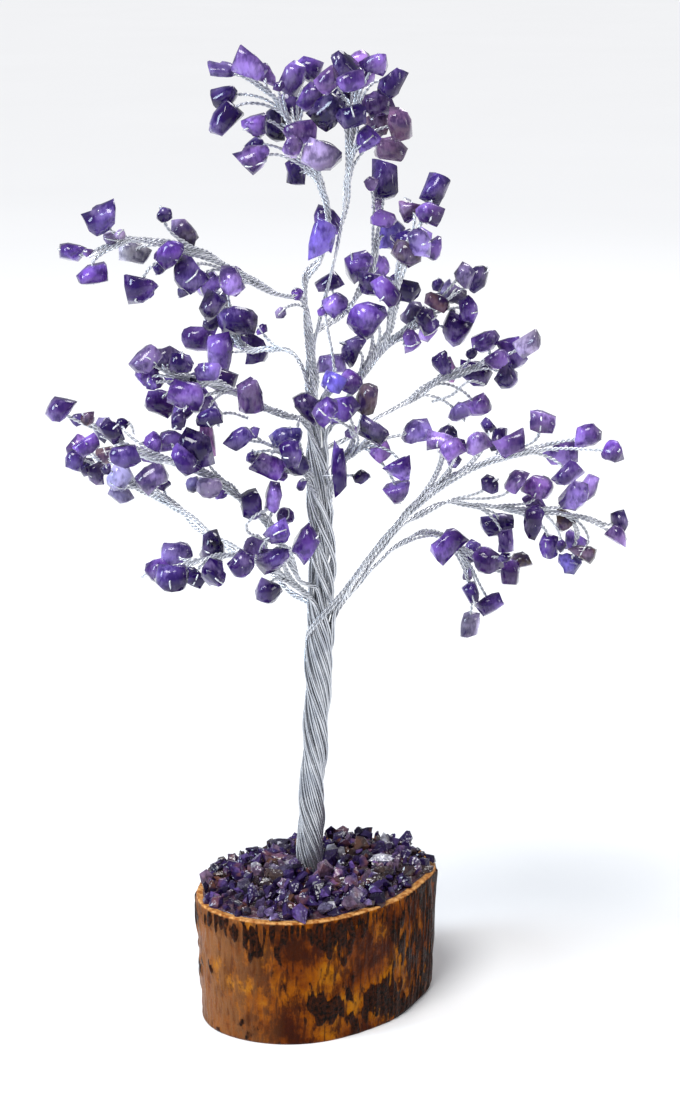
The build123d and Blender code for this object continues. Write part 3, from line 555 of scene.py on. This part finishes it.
def steel_finish(name, groove_shade, metal):
    """Bright drawn wire: pale metal, a little dull where it was gripped, with painted shade in the
    grooves between wires, and fine drawing lines."""
    steel, finish = Finish.named(name)
    dull = steel.cloud(steel.places(), 0.004)
    drawn = steel.cloud(steel.places(stretch=(1, 1, 0.3)), 0.0003)
    bright = dull.between(0.35, 0.65).blend(paint(250, 251, 254), paint(216, 219, 226))
    # Painted shade: the base colour turns to the dark groove colour on the faces of the wires that look into
    # the grooves between them.
    steel.shine({
        "Base Color": steel.attribute("open").blend(groove_shade, bright),
        "Metallic": metal,
        "Roughness": 0.18 + 0.16 * dull,
        "Normal": steel.bumped(drawn, drawing_depth, 0.3)})
    return finish


# The strands' dark groove colour is painted shade.
strand_finish = steel_finish("bundled_wire", paint(92, 97, 108), 0.85)
lines = {branch: smooth_line(ring_middles(branch + "_branch_strand"), line_step) for branch in branches}
top_lines = [lines["top_left"], lines["top_right"]]


def trunk_axis(heights):
    """The trunk's middle at these heights: the mean of the two strands that go to the tree's top."""
    return np.mean([[np.interp(heights, top[:, 2], top[:, k]) for k in (0, 1)] for top in top_lines], 0).T


def pressed_rope(line, axis, leaving):
    """The strand as the twisted trunk holds it: each point is drawn towards the trunk's axis by the
    trunk's narrowing at its height, and by a three-lobed wave that runs with the lay, and stands no
    further out than the trunk's reach. Where the strand leaves, it goes back to its own line."""
    out = line[:, :2] - axis
    turned = np.arctan2(out[:, 1], out[:, 0]) + 2 * np.pi * line[:, 2] / rope_pitch
    share = np.interp(line[:, 2], *trunk_narrowing.T) * (1 + rope_lobes * np.cos(3 * turned))
    share = np.minimum(share, trunk_reach / np.maximum(np.hypot(*out.T), 1e-6))
    share = share + (1 - share) * leaving
    return np.column_stack([axis + out * share[:, None], line[:, 2]])


def on_wires(values):
    """A value for each station of a strand, given to every point of its wires there."""
    return np.tile(np.repeat(values, wire_sides), wires_in_strand)


leavings = {}
sides_of = {}
for number, branch in enumerate(branches):
    line = lines[branch]
    axis = trunk_axis(line[:, 2])
    away = np.maximum.accumulate(np.hypot(*(line[:, :2] - axis).T))
    leaving = np.maximum(step_up(away, *leaving_reach), step_up(line[:, 2], *trunk_end))
    leavings[branch] = int(np.searchsorted(leaving, 0.5))
    line = lines[branch] = pressed_rope(line, axis, leaving)
    sides_of[branch] = first, second = carried_sides(line)
    along = np.arange(len(line)) * line_step
    free = along[leavings[branch]]
    out_share = np.clip((along - free) / (along[-1] - free), 0, 1)
    turns_per_metre = 1 / trunk_turn_length + leaving * (1 / branch_turn_length - 1 / trunk_turn_length)
    twist = -2 * np.pi * line_step * np.cumsum(turns_per_metre)
    bundle = strand_bundle * (1 + branch_loosening * leaving - bundle_taper * out_share)
    wire_radius = strand_wire * (1 - branch_thinning * leaving - wire_taper * out_share)
    chance = np.random.default_rng(400 + number)
    starts = np.arange(wires_in_strand) * 2 * np.pi / wires_in_strand + chance.uniform(0, 1)
    wander_starts = chance.uniform(0, 6, wires_in_strand)[:, None]
    wander = 1 + (0.08 + 0.2 * leaving) * np.sin(along / wander_length + wander_starts)
    wires = line + (bundle * wander)[..., None] * spoke(twist + starts[:, None], first, second)
    radii = np.repeat(wire_radius[None], wires_in_strand, 0)
    points, faces, openness = wire_tubes(wires, radii, wire_sides, line)
    # The trunk has more painted shade than the branches, over the whole of its wires and most of all low
    # down, and the branches' grooves get less painted shade.
    shine = on_wires(np.maximum(leaving, trunk_unshaded + upper_trunk_unshaded * step_up(line[:, 2], *upper_trunk)))
    openness = openness * shine + (1 - openness) * branch_groove_unshaded * on_wires(leaving)
    save_piece(branch + "_branch_wires", points, faces, branch + "_branch_strand", "trunk_wire",
               strand_finish, open=openness)


# The chips are drilled, tumbled amethyst: broken slabs with their edges and corners rolled soft and
# a wet polish, from nearly black to pale lilac, each threaded on its twig's wire.
facet_hardness = 13.0
chip_columns = 12
ring_tilts = np.radians([50, 77, 102, 130])
chip_swell = 1.24
break_leans = np.radians([10, -22, 20, 60, -42])
break_depths = ([0.34, 0.5, 0.6, 0.6, 0.6], [0.75, 0.95, 1.0, 0.95, 1.0])
# The drilled chips' tints, from left to right on each branch.
chip_tints = {
    "centre_left": "DVUDKD", "centre_right": "VVVBKLMVL", "front": "ULV", "left": "VGDDVMVDRPD",
    "left_middle": "GVVGVDVLMDVL", "left_shoulder": "VMDVLDDV", "low_left": "DLDVGBPGG",
    "low_left_front": "VDLDKDVLDLDVV", "low_right": "LKMLDMLLMMV", "low_right_drooping": "VDPDVMVB",
    "low_right_spreading": "DDVLDMMVLBUMBLLK", "right_middle": "DRLDMMMDVP",
    "right_shoulder": "MGDLBGVGVD", "top_left": "DLDLMLLKDLMDLMMUPM", "top_right": "KLDKMDLMVMBMDRR",
    "upper_left": "VVDWVVGDMDL", "upper_right_inner": "DVLMDU", "upper_right_outer": "MDVDVKDBRLLMMD"}
# Two chips are slimmer than their slabs: the number of each on its branch, and its share of width.
slim_chips = {"centre_right": (1, 0.45), "low_left_front": (12, 0.58)}
# Small chips between the drilled ones: column and row in the front view, width there, lean in
# degrees, and tint.
small_chips = {
    "top_left": ((255, 146, 22, 30, "D"), (279, 87, 13, 60, "M")),
    "upper_right_inner": ((370, 184, 17, 20, "L"), (378, 205, 15, 60, "P")),
    "upper_right_outer": ((398, 252, 14, 80, "L"), (357, 312, 16, 10, "M")),
    "right_shoulder": ((438, 285, 15, 70, "D"),),
    "right_middle": ((472, 353, 14, 60, "D"),),
    "low_right": ((453, 461, 17, 20, "L"), (489, 425, 18, 45, "D")),
    "low_right_spreading": ((561, 547, 14, 70, "D"),),
    "low_right_drooping": ((467, 575, 15, 70, "P"), (504, 557, 15, 40, "D")),
    "upper_left": (
        (111, 239, 17, 10, "P"), (120, 235, 12, 30, "P"), (89, 251, 12, 40, "M"), (163, 214, 19, -30, "D"),
        (160, 268, 15, 20, "D"), (183, 291, 14, 50, "G"), (297, 294, 14, 70, "V"), (281, 312, 15, 20, "P")),
    "left_shoulder": ((211, 323, 20, 10, "G"), (261, 330, 14, 40, "V")),
    "left_middle": (
        (152, 384, 14, 20, "V"), (194, 378, 16, 40, "K"), (172, 378, 16, 0, "V"), (179, 421, 20, 60, "D")),
    "left": (
        (78, 419, 16, 30, "D"), (88, 418, 15, 60, "B"), (121, 424, 15, 10, "D"), (193, 485, 17, 70, "G"),
        (220, 493, 15, 10, "V")),
    "low_left": ((108, 469, 15, 10, "D"), (164, 484, 15, 40, "V")),
    "low_left_front": ((285, 516, 21, 60, "V"),),
    "centre_left": (
        (253, 433, 14, 20, "D"), (253, 457, 15, 60, "D"), (282, 476, 13, 0, "V"), (301, 485, 13, 30, "D")),
    "centre_right": ((362, 477, 17, 10, "D"), (351, 431, 15, 70, "L")),
    "front": ((324, 312, 13, 20, "V"),)}
eye = np.array([0.006, -0.575, 0.284])
eye_dip = 15.5
view_middle = (340, 552)
view_focus = 2332
view_step = 0.00026
tree_depth = (-0.031, 0.036)
fore_and_aft = np.linspace(-0.012, 0.012, 25)
room_enough = 0.0075
stray_cost = 0.12
foot_stations = 5
fork_stations = 8
# How dark a chip's dark end stays, how fast it lightens, and the painted lilac glow at its light end.
dark_end = 0.4
light_end_gain = 1.05
painted_glow = 0.15


def loose_parts(name):
    """A node's separate solids, from left to right: the corners and triangles of each one. Joined
    corners pass each other the lowest of their numbers until nothing changes."""
    points, triangles = node_mesh(name)
    label = np.arange(len(points))
    while True:
        lowest = label.copy()
        for corner in range(3):
            np.minimum.at(lowest, triangles[:, corner], label[triangles].min(1))
        if (lowest == label).all():
            break
        label = lowest
    parts = []
    for part in np.unique(label):
        mine = label == part
        parts.append((points[mine], (np.cumsum(mine) - 1)[triangles[label[triangles[:, 0]] == part]]))
    return sorted(parts, key=lambda part: part[0][:, 0].min() + part[0][:, 0].max())


def outer_facets(points, triangles):
    """The planes that a drilled chip's outside lies in, without its hole's: the triangles' planes that
    have every corner behind them. Unit normals, and how far each plane is from the origin."""
    a, b, c = points[triangles[:, 0]], points[triangles[:, 1]], points[triangles[:, 2]]
    normal = np.cross(b - a, c - a)
    size = np.linalg.norm(normal, axis=1)
    solid = size > 1e-12
    normal = normal[solid] / size[solid, None]
    reach = (normal * a[solid]).sum(1)
    outside = (points @ normal.T).max(0) - reach < 2e-5
    _, kept = np.unique(normal[outside].round(2), axis=0, return_index=True)
    return normal[outside][kept], reach[outside][kept]


def slab_way(normals):
    """Which way a chip's slab faces: the facet that has another most nearly opposite to it."""
    return normals[np.argmin((normals @ normals.T).min(1))]


def chip_centre(points):
    """The middle of a chip's own box."""
    return (points.min(0) + points.max(0)) / 2


def tumbled_chip(points, triangles, chance):
    """A rolled chip inside its sawn slab: in each direction its radius is one over the high-power mean
    of the facets' nearness, so that facets stay flat and edges go round. The slab's own facets are
    joined by random breaks, most of them across its outline. The directions run from the top face's
    pole in rings to the pole underneath."""
    normals, reach = outer_facets(points, triangles)
    middle = chip_centre(points)
    flat = slab_way(normals)
    first = unit(np.cross(flat, [0.3, 0.5, 0.8]))
    second = np.cross(flat, first)
    breaks = chance.uniform(0, 2 * np.pi, len(break_leans))
    breaks[1] = breaks[0] + chance.uniform(1.6, 2.6)
    lean = break_leans + chance.uniform(-0.2, 0.2, len(break_leans))
    cuts = spoke(lean, spoke(breaks, first, second), flat)
    shallow = chance.uniform(*break_depths)
    depth = np.concatenate([reach - normals @ middle, (cuts @ (points - middle).T).max(1) * shallow])
    normals = np.concatenate([normals, cuts])
    outline = np.stack([(points - middle) @ first, (points - middle) @ second])
    rim_corners = np.hypot(*outline) > 0.6 * np.hypot(*outline).max()
    turns = np.unique(np.arctan2(outline[1], outline[0])[rim_corners].round(1))[:chip_columns]
    while len(turns) < chip_columns:
        gaps = np.diff(np.append(turns, turns[0] + 2 * np.pi))
        widest = gaps.argmax()
        turns = np.insert(turns, widest + 1, turns[widest] + gaps[widest] / 2)
    ways = spoke(ring_tilts[:, None], flat, spoke(turns, first, second))
    ways = np.concatenate([[flat], ways.reshape(-1, 3), [-flat]])
    nearness = np.maximum(ways @ normals.T, 0) / depth
    radius = chip_swell * (nearness**facet_hardness).sum(1) ** (-1 / facet_hardness)
    return middle + ways * radius[:, None]


def sighted(column, row, depth):
    """The place behind a pixel of the front view, at a distance behind the trunk's plane: the ray
    leaves the eye through that pixel, and is drawn out to the distance."""
    across, up = (column - view_middle[0]) / view_focus, (view_middle[1] - row) / view_focus
    dip = np.radians(eye_dip)
    ray = np.array([across, np.cos(dip) + up * np.sin(dip), up * np.cos(dip) - np.sin(dip)])
    return eye + ray * ((np.asarray(depth)[..., None] - eye[1]) / ray[1])


def sawn_slab(centre, lean, length, chance):
    """A small chip's slab: five corners on an oval at uneven turns, on two faces half a length apart."""
    flat = unit(np.array([chance.normal(0, 0.35), -1, chance.normal(0, 0.35)]))
    first = unit(np.cross(np.cross(flat, [np.cos(lean), 0, np.sin(lean)]), flat))
    second = np.cross(flat, first)
    turns = (np.arange(5) + chance.uniform(-0.25, 0.25, 5)) * 2 * np.pi / 5
    rim = length * (0.5 * np.cos(turns)[:, None] * first + 0.38 * np.sin(turns)[:, None] * second)
    points = centre + np.concatenate([rim * 0.9 + flat * length * 0.24, rim - flat * length * 0.24])
    here = np.arange(5)
    after = (here + 1) % 5
    sides = np.concatenate([np.stack([here, here + 5, after], 1), np.stack([after, here + 5, after + 5], 1)])
    caps = np.array([[0, 1, 2], [0, 2, 3], [0, 3, 4], [5, 7, 6], [5, 8, 7], [5, 9, 8]])
    return points, np.concatenate([sides, caps])


gem, gem_finish = Finish.named("tumbled_amethyst")
gem_bands = gem.cloud(gem.places(), 0.0034, detail=1)
gem_clouds = gem.cloud(gem.places(stretch=(1, 1.5, 1.2), turn=(0.6, 0.3, 0.9)), 0.0052, detail=2)
gem_veins = gem.cloud(gem.places(stretch=(1.8, 1, 0.8), turn=(0.9, 0.4, 0.2)), 0.0013, detail=4)
gem_tint = gem.attribute("tint", 0)
gem_deep = gem_tint.mixed(0.7, paint(26, 0, 78))
gem_pale = gem_tint.mixed(0.24, paint(196, 172, 236))
gem_body = (gem_bands + 0.5 * gem_veins).between(0.62, 0.86).blend(gem_deep, gem_tint)
gem.shine({
    "Base Color": (gem_clouds + 0.4 * gem_veins).between(0.7, 0.96).blend(gem_body, gem_pale),
    "Roughness": 0.04 + 0.1 * gem_bands,
    "IOR": 1.54,
    "Specular IOR Level": 0.3,
    "Coat Weight": 0.2,
    "Coat Roughness": 0.02,
    "Normal": gem.bumped(gem_veins, 0.00025, 0.22)})
chips = {branch: loose_parts(branch + "_branch_stones") for branch in branches}
all_centres = [chip_centre(points) for branch in branches for points, _ in chips[branch]]
small_feet = {}
for number, branch in enumerate(branches):
    chance = np.random.default_rng(700 + number)
    limb = lines[branch][leavings[branch] + fork_stations:]
    small_feet[branch] = []
    tints = chip_tints[branch]
    # A small chip goes where it has room, fore or aft of the nearest station of its branch.
    for column, row, width, lean, tint in small_chips.get(branch, ()):
        seen = sighted(column, row, limb[:, 1])
        nearest = np.linalg.norm(seen - limb, axis=1).argmin()
        places = sighted(column, row, np.clip(limb[nearest, 1] + fore_and_aft, *tree_depth))
        room = np.linalg.norm(places[:, None] - np.array(all_centres), axis=2).min(1)
        stray = np.linalg.norm(places - limb[nearest], axis=1)
        centre = places[np.argmax(np.minimum(room, room_enough) - stray_cost * stray)]
        all_centres.append(centre)
        chips[branch].append(sawn_slab(centre, np.radians(lean), width * view_step, chance))
        small_feet[branch].append(limb[max(nearest - foot_stations, 0)])
        tints += tint
    stones = np.array([tumbled_chip(*chip, chance) for chip in chips[branch]])
    if branch in slim_chips:
        slim, share = slim_chips[branch]
        middle = stones[slim].mean(0)
        stones[slim] = middle + (stones[slim] - middle) * [share, 1, 1]
    stones = np.clip(stones, *map(np.array, cad_box))
    count, corners = stones.shape[:2]
    one_chip = turned_faces(len(ring_tilts), chip_columns)
    faces = [[corner + stone * corners for corner in face] for stone in range(count) for face in one_chip]
    # Each chip has its own tint, a little lighter or darker, and goes from a dark end to a light one:
    # partly its own colour zoning, partly painted light let through its thin end, with a painted lilac
    # glow and highlight at the light end.
    colours = np.array([paint(*tint_paints[letter]) for letter in tints])
    brightness = chance.uniform(0.82, 1.12, (count, 1))
    colours[:, :3] *= brightness * chance.uniform(0.88, 1.12, (count, 3))
    tone_way = unit(chance.normal(size=(count, 1, 3)))
    lit = step_up((unit(stones - stones.mean(1, keepdims=True)) * tone_way).sum(-1), -0.7, 0.9)[..., None]
    colours = np.repeat(colours[:, None], corners, 1)
    painted_glow_tint = painted_glow * lit**3 * paint(176, 160, 242)[:3]
    colours[..., :3] = colours[..., :3] * (dark_end + light_end_gain * lit) + painted_glow_tint
    save_piece(branch + "_branch_chips", stones.reshape(-1, 3), faces, branch + "_branch_stones",
               "amethyst", gem_finish, tint=colours.reshape(-1, 4))


# The twigs: two thin wires twisted together hard. Each pair runs out of its branch's bundle, and at
# its end one wire goes through the chip's drilled hole and the other over the chip to meet it. Five
# pairs end bare and bent, and two go round the trunk's front and out along the low right branch.
twig_wire = 0.00023
twig_sides = 4
twist_length = 0.0027
twig_steps_per_turn = 7
loop_stations = 9
loop_clearance = 0.0002
front_loops = 0.18
bend_run = (0.004, 0.012)
bend_stations = 24
shortest_run = 0.003
usual_run = 0.020
longer_runs = {"low_left": 0.060, "left": 0.034}
run_turn_length = (0.018, 0.030)
run_spread = (0.0006, 0.0011)
run_opening = (-0.002, 0.009)
neck_gap = 0.0004
# How far a bare end bulges to the front, and its way in the front view, by column and row.
bare_ends = {
    "low_left_front": (
        0.012, (293, 549), (276, 543), (256, 536), (247, 530), (247, 524), (256, 515), (271, 508)),
    "low_left": (0.005, (112, 456), (116, 446), (116, 432), (121, 424), (130, 424), (134, 434)),
    "left_middle": (0.005, (248, 418), (226, 413), (216, 416), (219, 426)),
    "right_middle": (0.005, (432, 402), (452, 395), (470, 381), (484, 384)),
    "top_right": (0.005, (350, 160), (358, 130), (352, 112), (341, 96))}
# The wrap's way round the trunk, by column, row and distance behind the trunk's plane.
wrap_places = ((312, 642, 0.0036), (307, 637, 0.0002), (310, 630, -0.0036), (318, 620, -0.0052),
               (327, 610, -0.0056), (337, 599, -0.0056))
wrap_shifts = ((0, -0.0002, 0.0004), (0.0002, 0, -0.0006))
wrap_joins = 0.014
wrap_stations = 30
wrap_proud = (0, -0.0008, 0)
# The twigs' dark groove colour is painted shade between the two wires of each pair.
twig_finish = steel_finish("twisted_pair_wire", paint(186, 189, 196), 0.45)


def twig_ends(corners, line):
    """A CAD twig's two ends, the one by its branch first: the means of its corners to either side of
    the middle of its long axis."""
    middle = corners.mean(0)
    places = (corners - middle) @ np.linalg.svd(corners - middle)[2][0]
    ends = np.array([corners[places < 0].mean(0), corners[places > 0].mean(0)])
    gaps = np.linalg.norm(line[:, None] - ends, axis=2).min(0)
    return ends[::-1] if gaps[1] < gaps[0] else ends


def threaded(foot, tip, stones):
    """The chip that a twig runs through: of those beside its length, the one nearest to its line."""
    way = unit(tip - foot)
    centres = np.array([chip_centre(points) for points, _ in stones]) - foot
    beside = np.linalg.norm(np.cross(centres, way), axis=1)
    reach = centres @ way
    beside[(reach < 0) | (reach > np.linalg.norm(tip - foot))] = 1
    return stones[beside.argmin()]


def arc_between(start, heading, end, way):
    """A bend from one place and direction to another: the cubic with those ends and end slopes."""
    pull = 0.9 * np.linalg.norm(end - start)
    return cubic(start, heading * pull, end, way * pull, np.linspace(0, 1, bend_stations)[:, None])


def twist_two(path, side=None):
    """Two wires twisted about a path, one line each: they stand off it by their radius to opposite
    sides, at an angle that goes once round in each twist length, and end with the first on a side."""
    along = run_lengths(path)
    even = np.linspace(0, along[-1], max(int(along[-1] / twist_length * twig_steps_per_turn), 8))
    path = np.stack([np.interp(even, along, path[:, k]) for k in range(3)], 1)
    first, second = carried_sides(path)
    last = 0 if side is None else np.arctan2(side @ second[-1], side @ first[-1])
    lean = spoke(last - 2 * np.pi * (even - even[-1]) / twist_length, first, second) * twig_wire
    return np.array([path + lean, path - lean])


def twig_pair(foot, tip, branch, stone, chance):
    """Both wires of a twig, one line each: a pair that is twisted round a path beside the branch's
    bundle and out along a bend, which meets the chip square; from there one wire goes straight on
    through the chip, and the other goes round its outside to meet it."""
    line, (first, second) = lines[branch], sides_of[branch]
    way = unit(tip - foot)
    normals, reach = outer_facets(*stone)
    slope = normals @ way
    room = reach - normals @ foot
    into = (room / np.where(slope < -1e-6, slope, np.inf))[slope < -1e-6].max()
    beyond = (room / np.where(slope > 1e-6, slope, np.inf))[slope > 1e-6].min()
    neck = foot + way * (into - neck_gap)
    nearest = int(np.linalg.norm(line - foot, axis=1).argmin())
    lowest = max(min(leavings[branch] - 10, nearest - 4), 3)
    bend_start = max(nearest - int(chance.uniform(*bend_run) / line_step), lowest)
    run_length = chance.uniform(shortest_run, longer_runs.get(branch, usual_run))
    run_start = max(bend_start - int(run_length / line_step), lowest - 3, 0)
    out = neck - line[bend_start]
    aim = np.arctan2(out @ second[bend_start], out @ first[bend_start])
    run = np.arange(run_start, bend_start + 1)
    turned = aim + (run - bend_start) * line_step * -2 * np.pi / chance.uniform(*run_turn_length)
    spread = chance.uniform(*run_spread) * step_up((run - run_start) * line_step, *run_opening)
    beside = line[run] + spread[:, None] * spoke(turned, first[run], second[run])
    heading = unit(beside[-1] - beside[-2]) if len(run) > 1 else unit(line[bend_start + 1] - line[bend_start])
    path = np.concatenate([beside[:-1], arc_between(beside[-1], heading, neck, way)])
    flat = slab_way(normals)
    side = unit(flat - (flat @ way) * way)
    side *= -np.sign(side[1]) * (1 if chance.uniform() < front_loops else -1)
    over, through = twist_two(path, side)
    axis = foot + way * np.linspace(into - neck_gap / 2, beyond + neck_gap, loop_stations)[:, None]
    towards = normals @ side
    wall = (reach - axis @ normals.T) / np.where(towards > 1e-6, towards, np.inf)
    swing = np.maximum(np.where(towards > 1e-6, wall, np.inf).min(1), 0) + loop_clearance
    swing[[0, -1]] = [twig_wire, 0.0001]
    return np.concatenate([[through, over], [axis, axis + side * swing[:, None]]], axis=1)


for number, branch in enumerate(branches):
    chance = np.random.default_rng(900 + number)
    twigs = [twig_ends(corners, lines[branch]) for corners, _ in loose_parts(branch + "_branch_twigs")]
    threads = [(foot, tip, threaded(foot, tip, chips[branch])) for foot, tip in twigs]
    small = chips[branch][len(chips[branch]) - len(small_feet[branch]):]
    for foot, stone in zip(small_feet[branch], small):
        threads.append((foot, 2 * chip_centre(stone[0]) - foot, stone))
    pairs = [twig_pair(foot, tip, branch, stone, chance) for foot, tip, stone in threads]
    if branch in bare_ends:
        bulge, *pixels = bare_ends[branch]
        columns, rows = np.array(pixels).T
        limb = lines[branch][leavings[branch]:]
        near = np.linalg.norm(sighted(columns[0], rows[0], limb[:, 1]) - limb, axis=1).argmin()
        depths = limb[near, 1] - bulge * np.sin(np.linspace(0, 2.4, len(rows)))
        knots = np.array([sighted(*place) for place in zip(columns, rows, depths)])
        pairs.append(twist_two(smooth_line(knots, line_step)))
    if branch == "low_right":
        joined = np.argmax(lines[branch][:, 0] > wrap_joins)
        limb = lines[branch][joined::wrap_stations][:4] + wrap_proud
        round_trunk = np.array([sighted(*place) for place in wrap_places])
        for shift in wrap_shifts:
            knots = np.concatenate([round_trunk, limb]) + shift
            pairs.append(twist_two(smooth_line(knots, line_step)))
    points, faces, openness, count = [], [], [], 0
    for pair in pairs:
        radii = np.full(pair.shape[:2], twig_wire)
        tube, tube_faces, tube_open = wire_tubes(pair, radii, twig_sides, pair.mean(0))
        points.append(tube)
        openness.append(tube_open)
        faces += [[corner + count for corner in face] for face in tube_faces]
        count += len(tube)
    save_piece(branch + "_branch_twists", np.concatenate(points), faces, branch + "_branch_twigs",
               "twig_wire", twig_finish, open=np.concatenate(openness))


# The studio: a wide pale floor that runs out of sight behind the tree, soft lights to the left, the
# right and behind, a broad one high up, and the camera a little above the tree, looking down at it.
floor_reach = 9.0
tree_middle = (0, 0, 0.14)
floor_sides = ((-1, -1), (1, -1), (1, 1), (-1, 1))
floor_mesh = bpy.data.meshes.new("floor")
floor_mesh.from_pydata([(x * floor_reach, y * floor_reach, 0) for x, y in floor_sides], [], [(0, 1, 2, 3)])
floor, floor_finish = Finish.named("pale_floor")
floor.shine({
    "Base Color": floor.cloud(floor.places(), 0.4).blend(paint(236, 236, 236), paint(240, 240, 240)),
    "Roughness": 0.9})
floor_mesh.materials.append(floor_finish)
placed("floor", floor_mesh)


def soft_light(name, place, width, height, power, hue=(1, 1, 1)):
    """An oblong soft light at a place, facing the middle of the tree."""
    lamp = bpy.data.lights.new(name, "AREA")
    lamp.shape = "RECTANGLE"
    lamp.size = width
    lamp.size_y = height
    lamp.energy = power
    lamp.color = hue
    light = placed(name, lamp)
    light.location = place
    light.rotation_euler = (Vector(tree_middle) - Vector(place)).to_track_quat("-Z", "Y").to_euler()


soft_light("left_light", (-0.85, -0.35, 0.62), 0.22, 0.5, 7, (0.72, 0.86, 1))
soft_light("right_light", (0.95, -0.15, 0.4), 0.2, 0.4, 1.4)
soft_light("back_light", (0.3, 0.9, 0.9), 0.4, 0.4, 3)
high_lamp = bpy.data.lights.new("high_light", "SUN")
high_lamp.energy = 2.7
high_lamp.angle = np.radians(26)
placed("high_light", high_lamp).rotation_euler = (np.radians(24), np.radians(-18), 0)
world = bpy.data.worlds.new("studio")
world.use_nodes = True
backdrop = world.node_tree.nodes["Background"].inputs
backdrop["Color"].default_value = paint(212, 214, 220)
backdrop["Strength"].default_value = 0.5
bpy.context.scene.world = world
bpy.context.scene.view_settings.view_transform = "Standard"

lens = bpy.data.cameras.new("camera")
lens.lens = 76.04
lens.sensor_width = lens.sensor_height = 36.0
lens.sensor_fit = "VERTICAL"
camera = placed("camera", lens)
camera.location = eye
camera.rotation_euler = (np.radians(90 - eye_dip), 0, 0)
bpy.context.scene.camera = camera
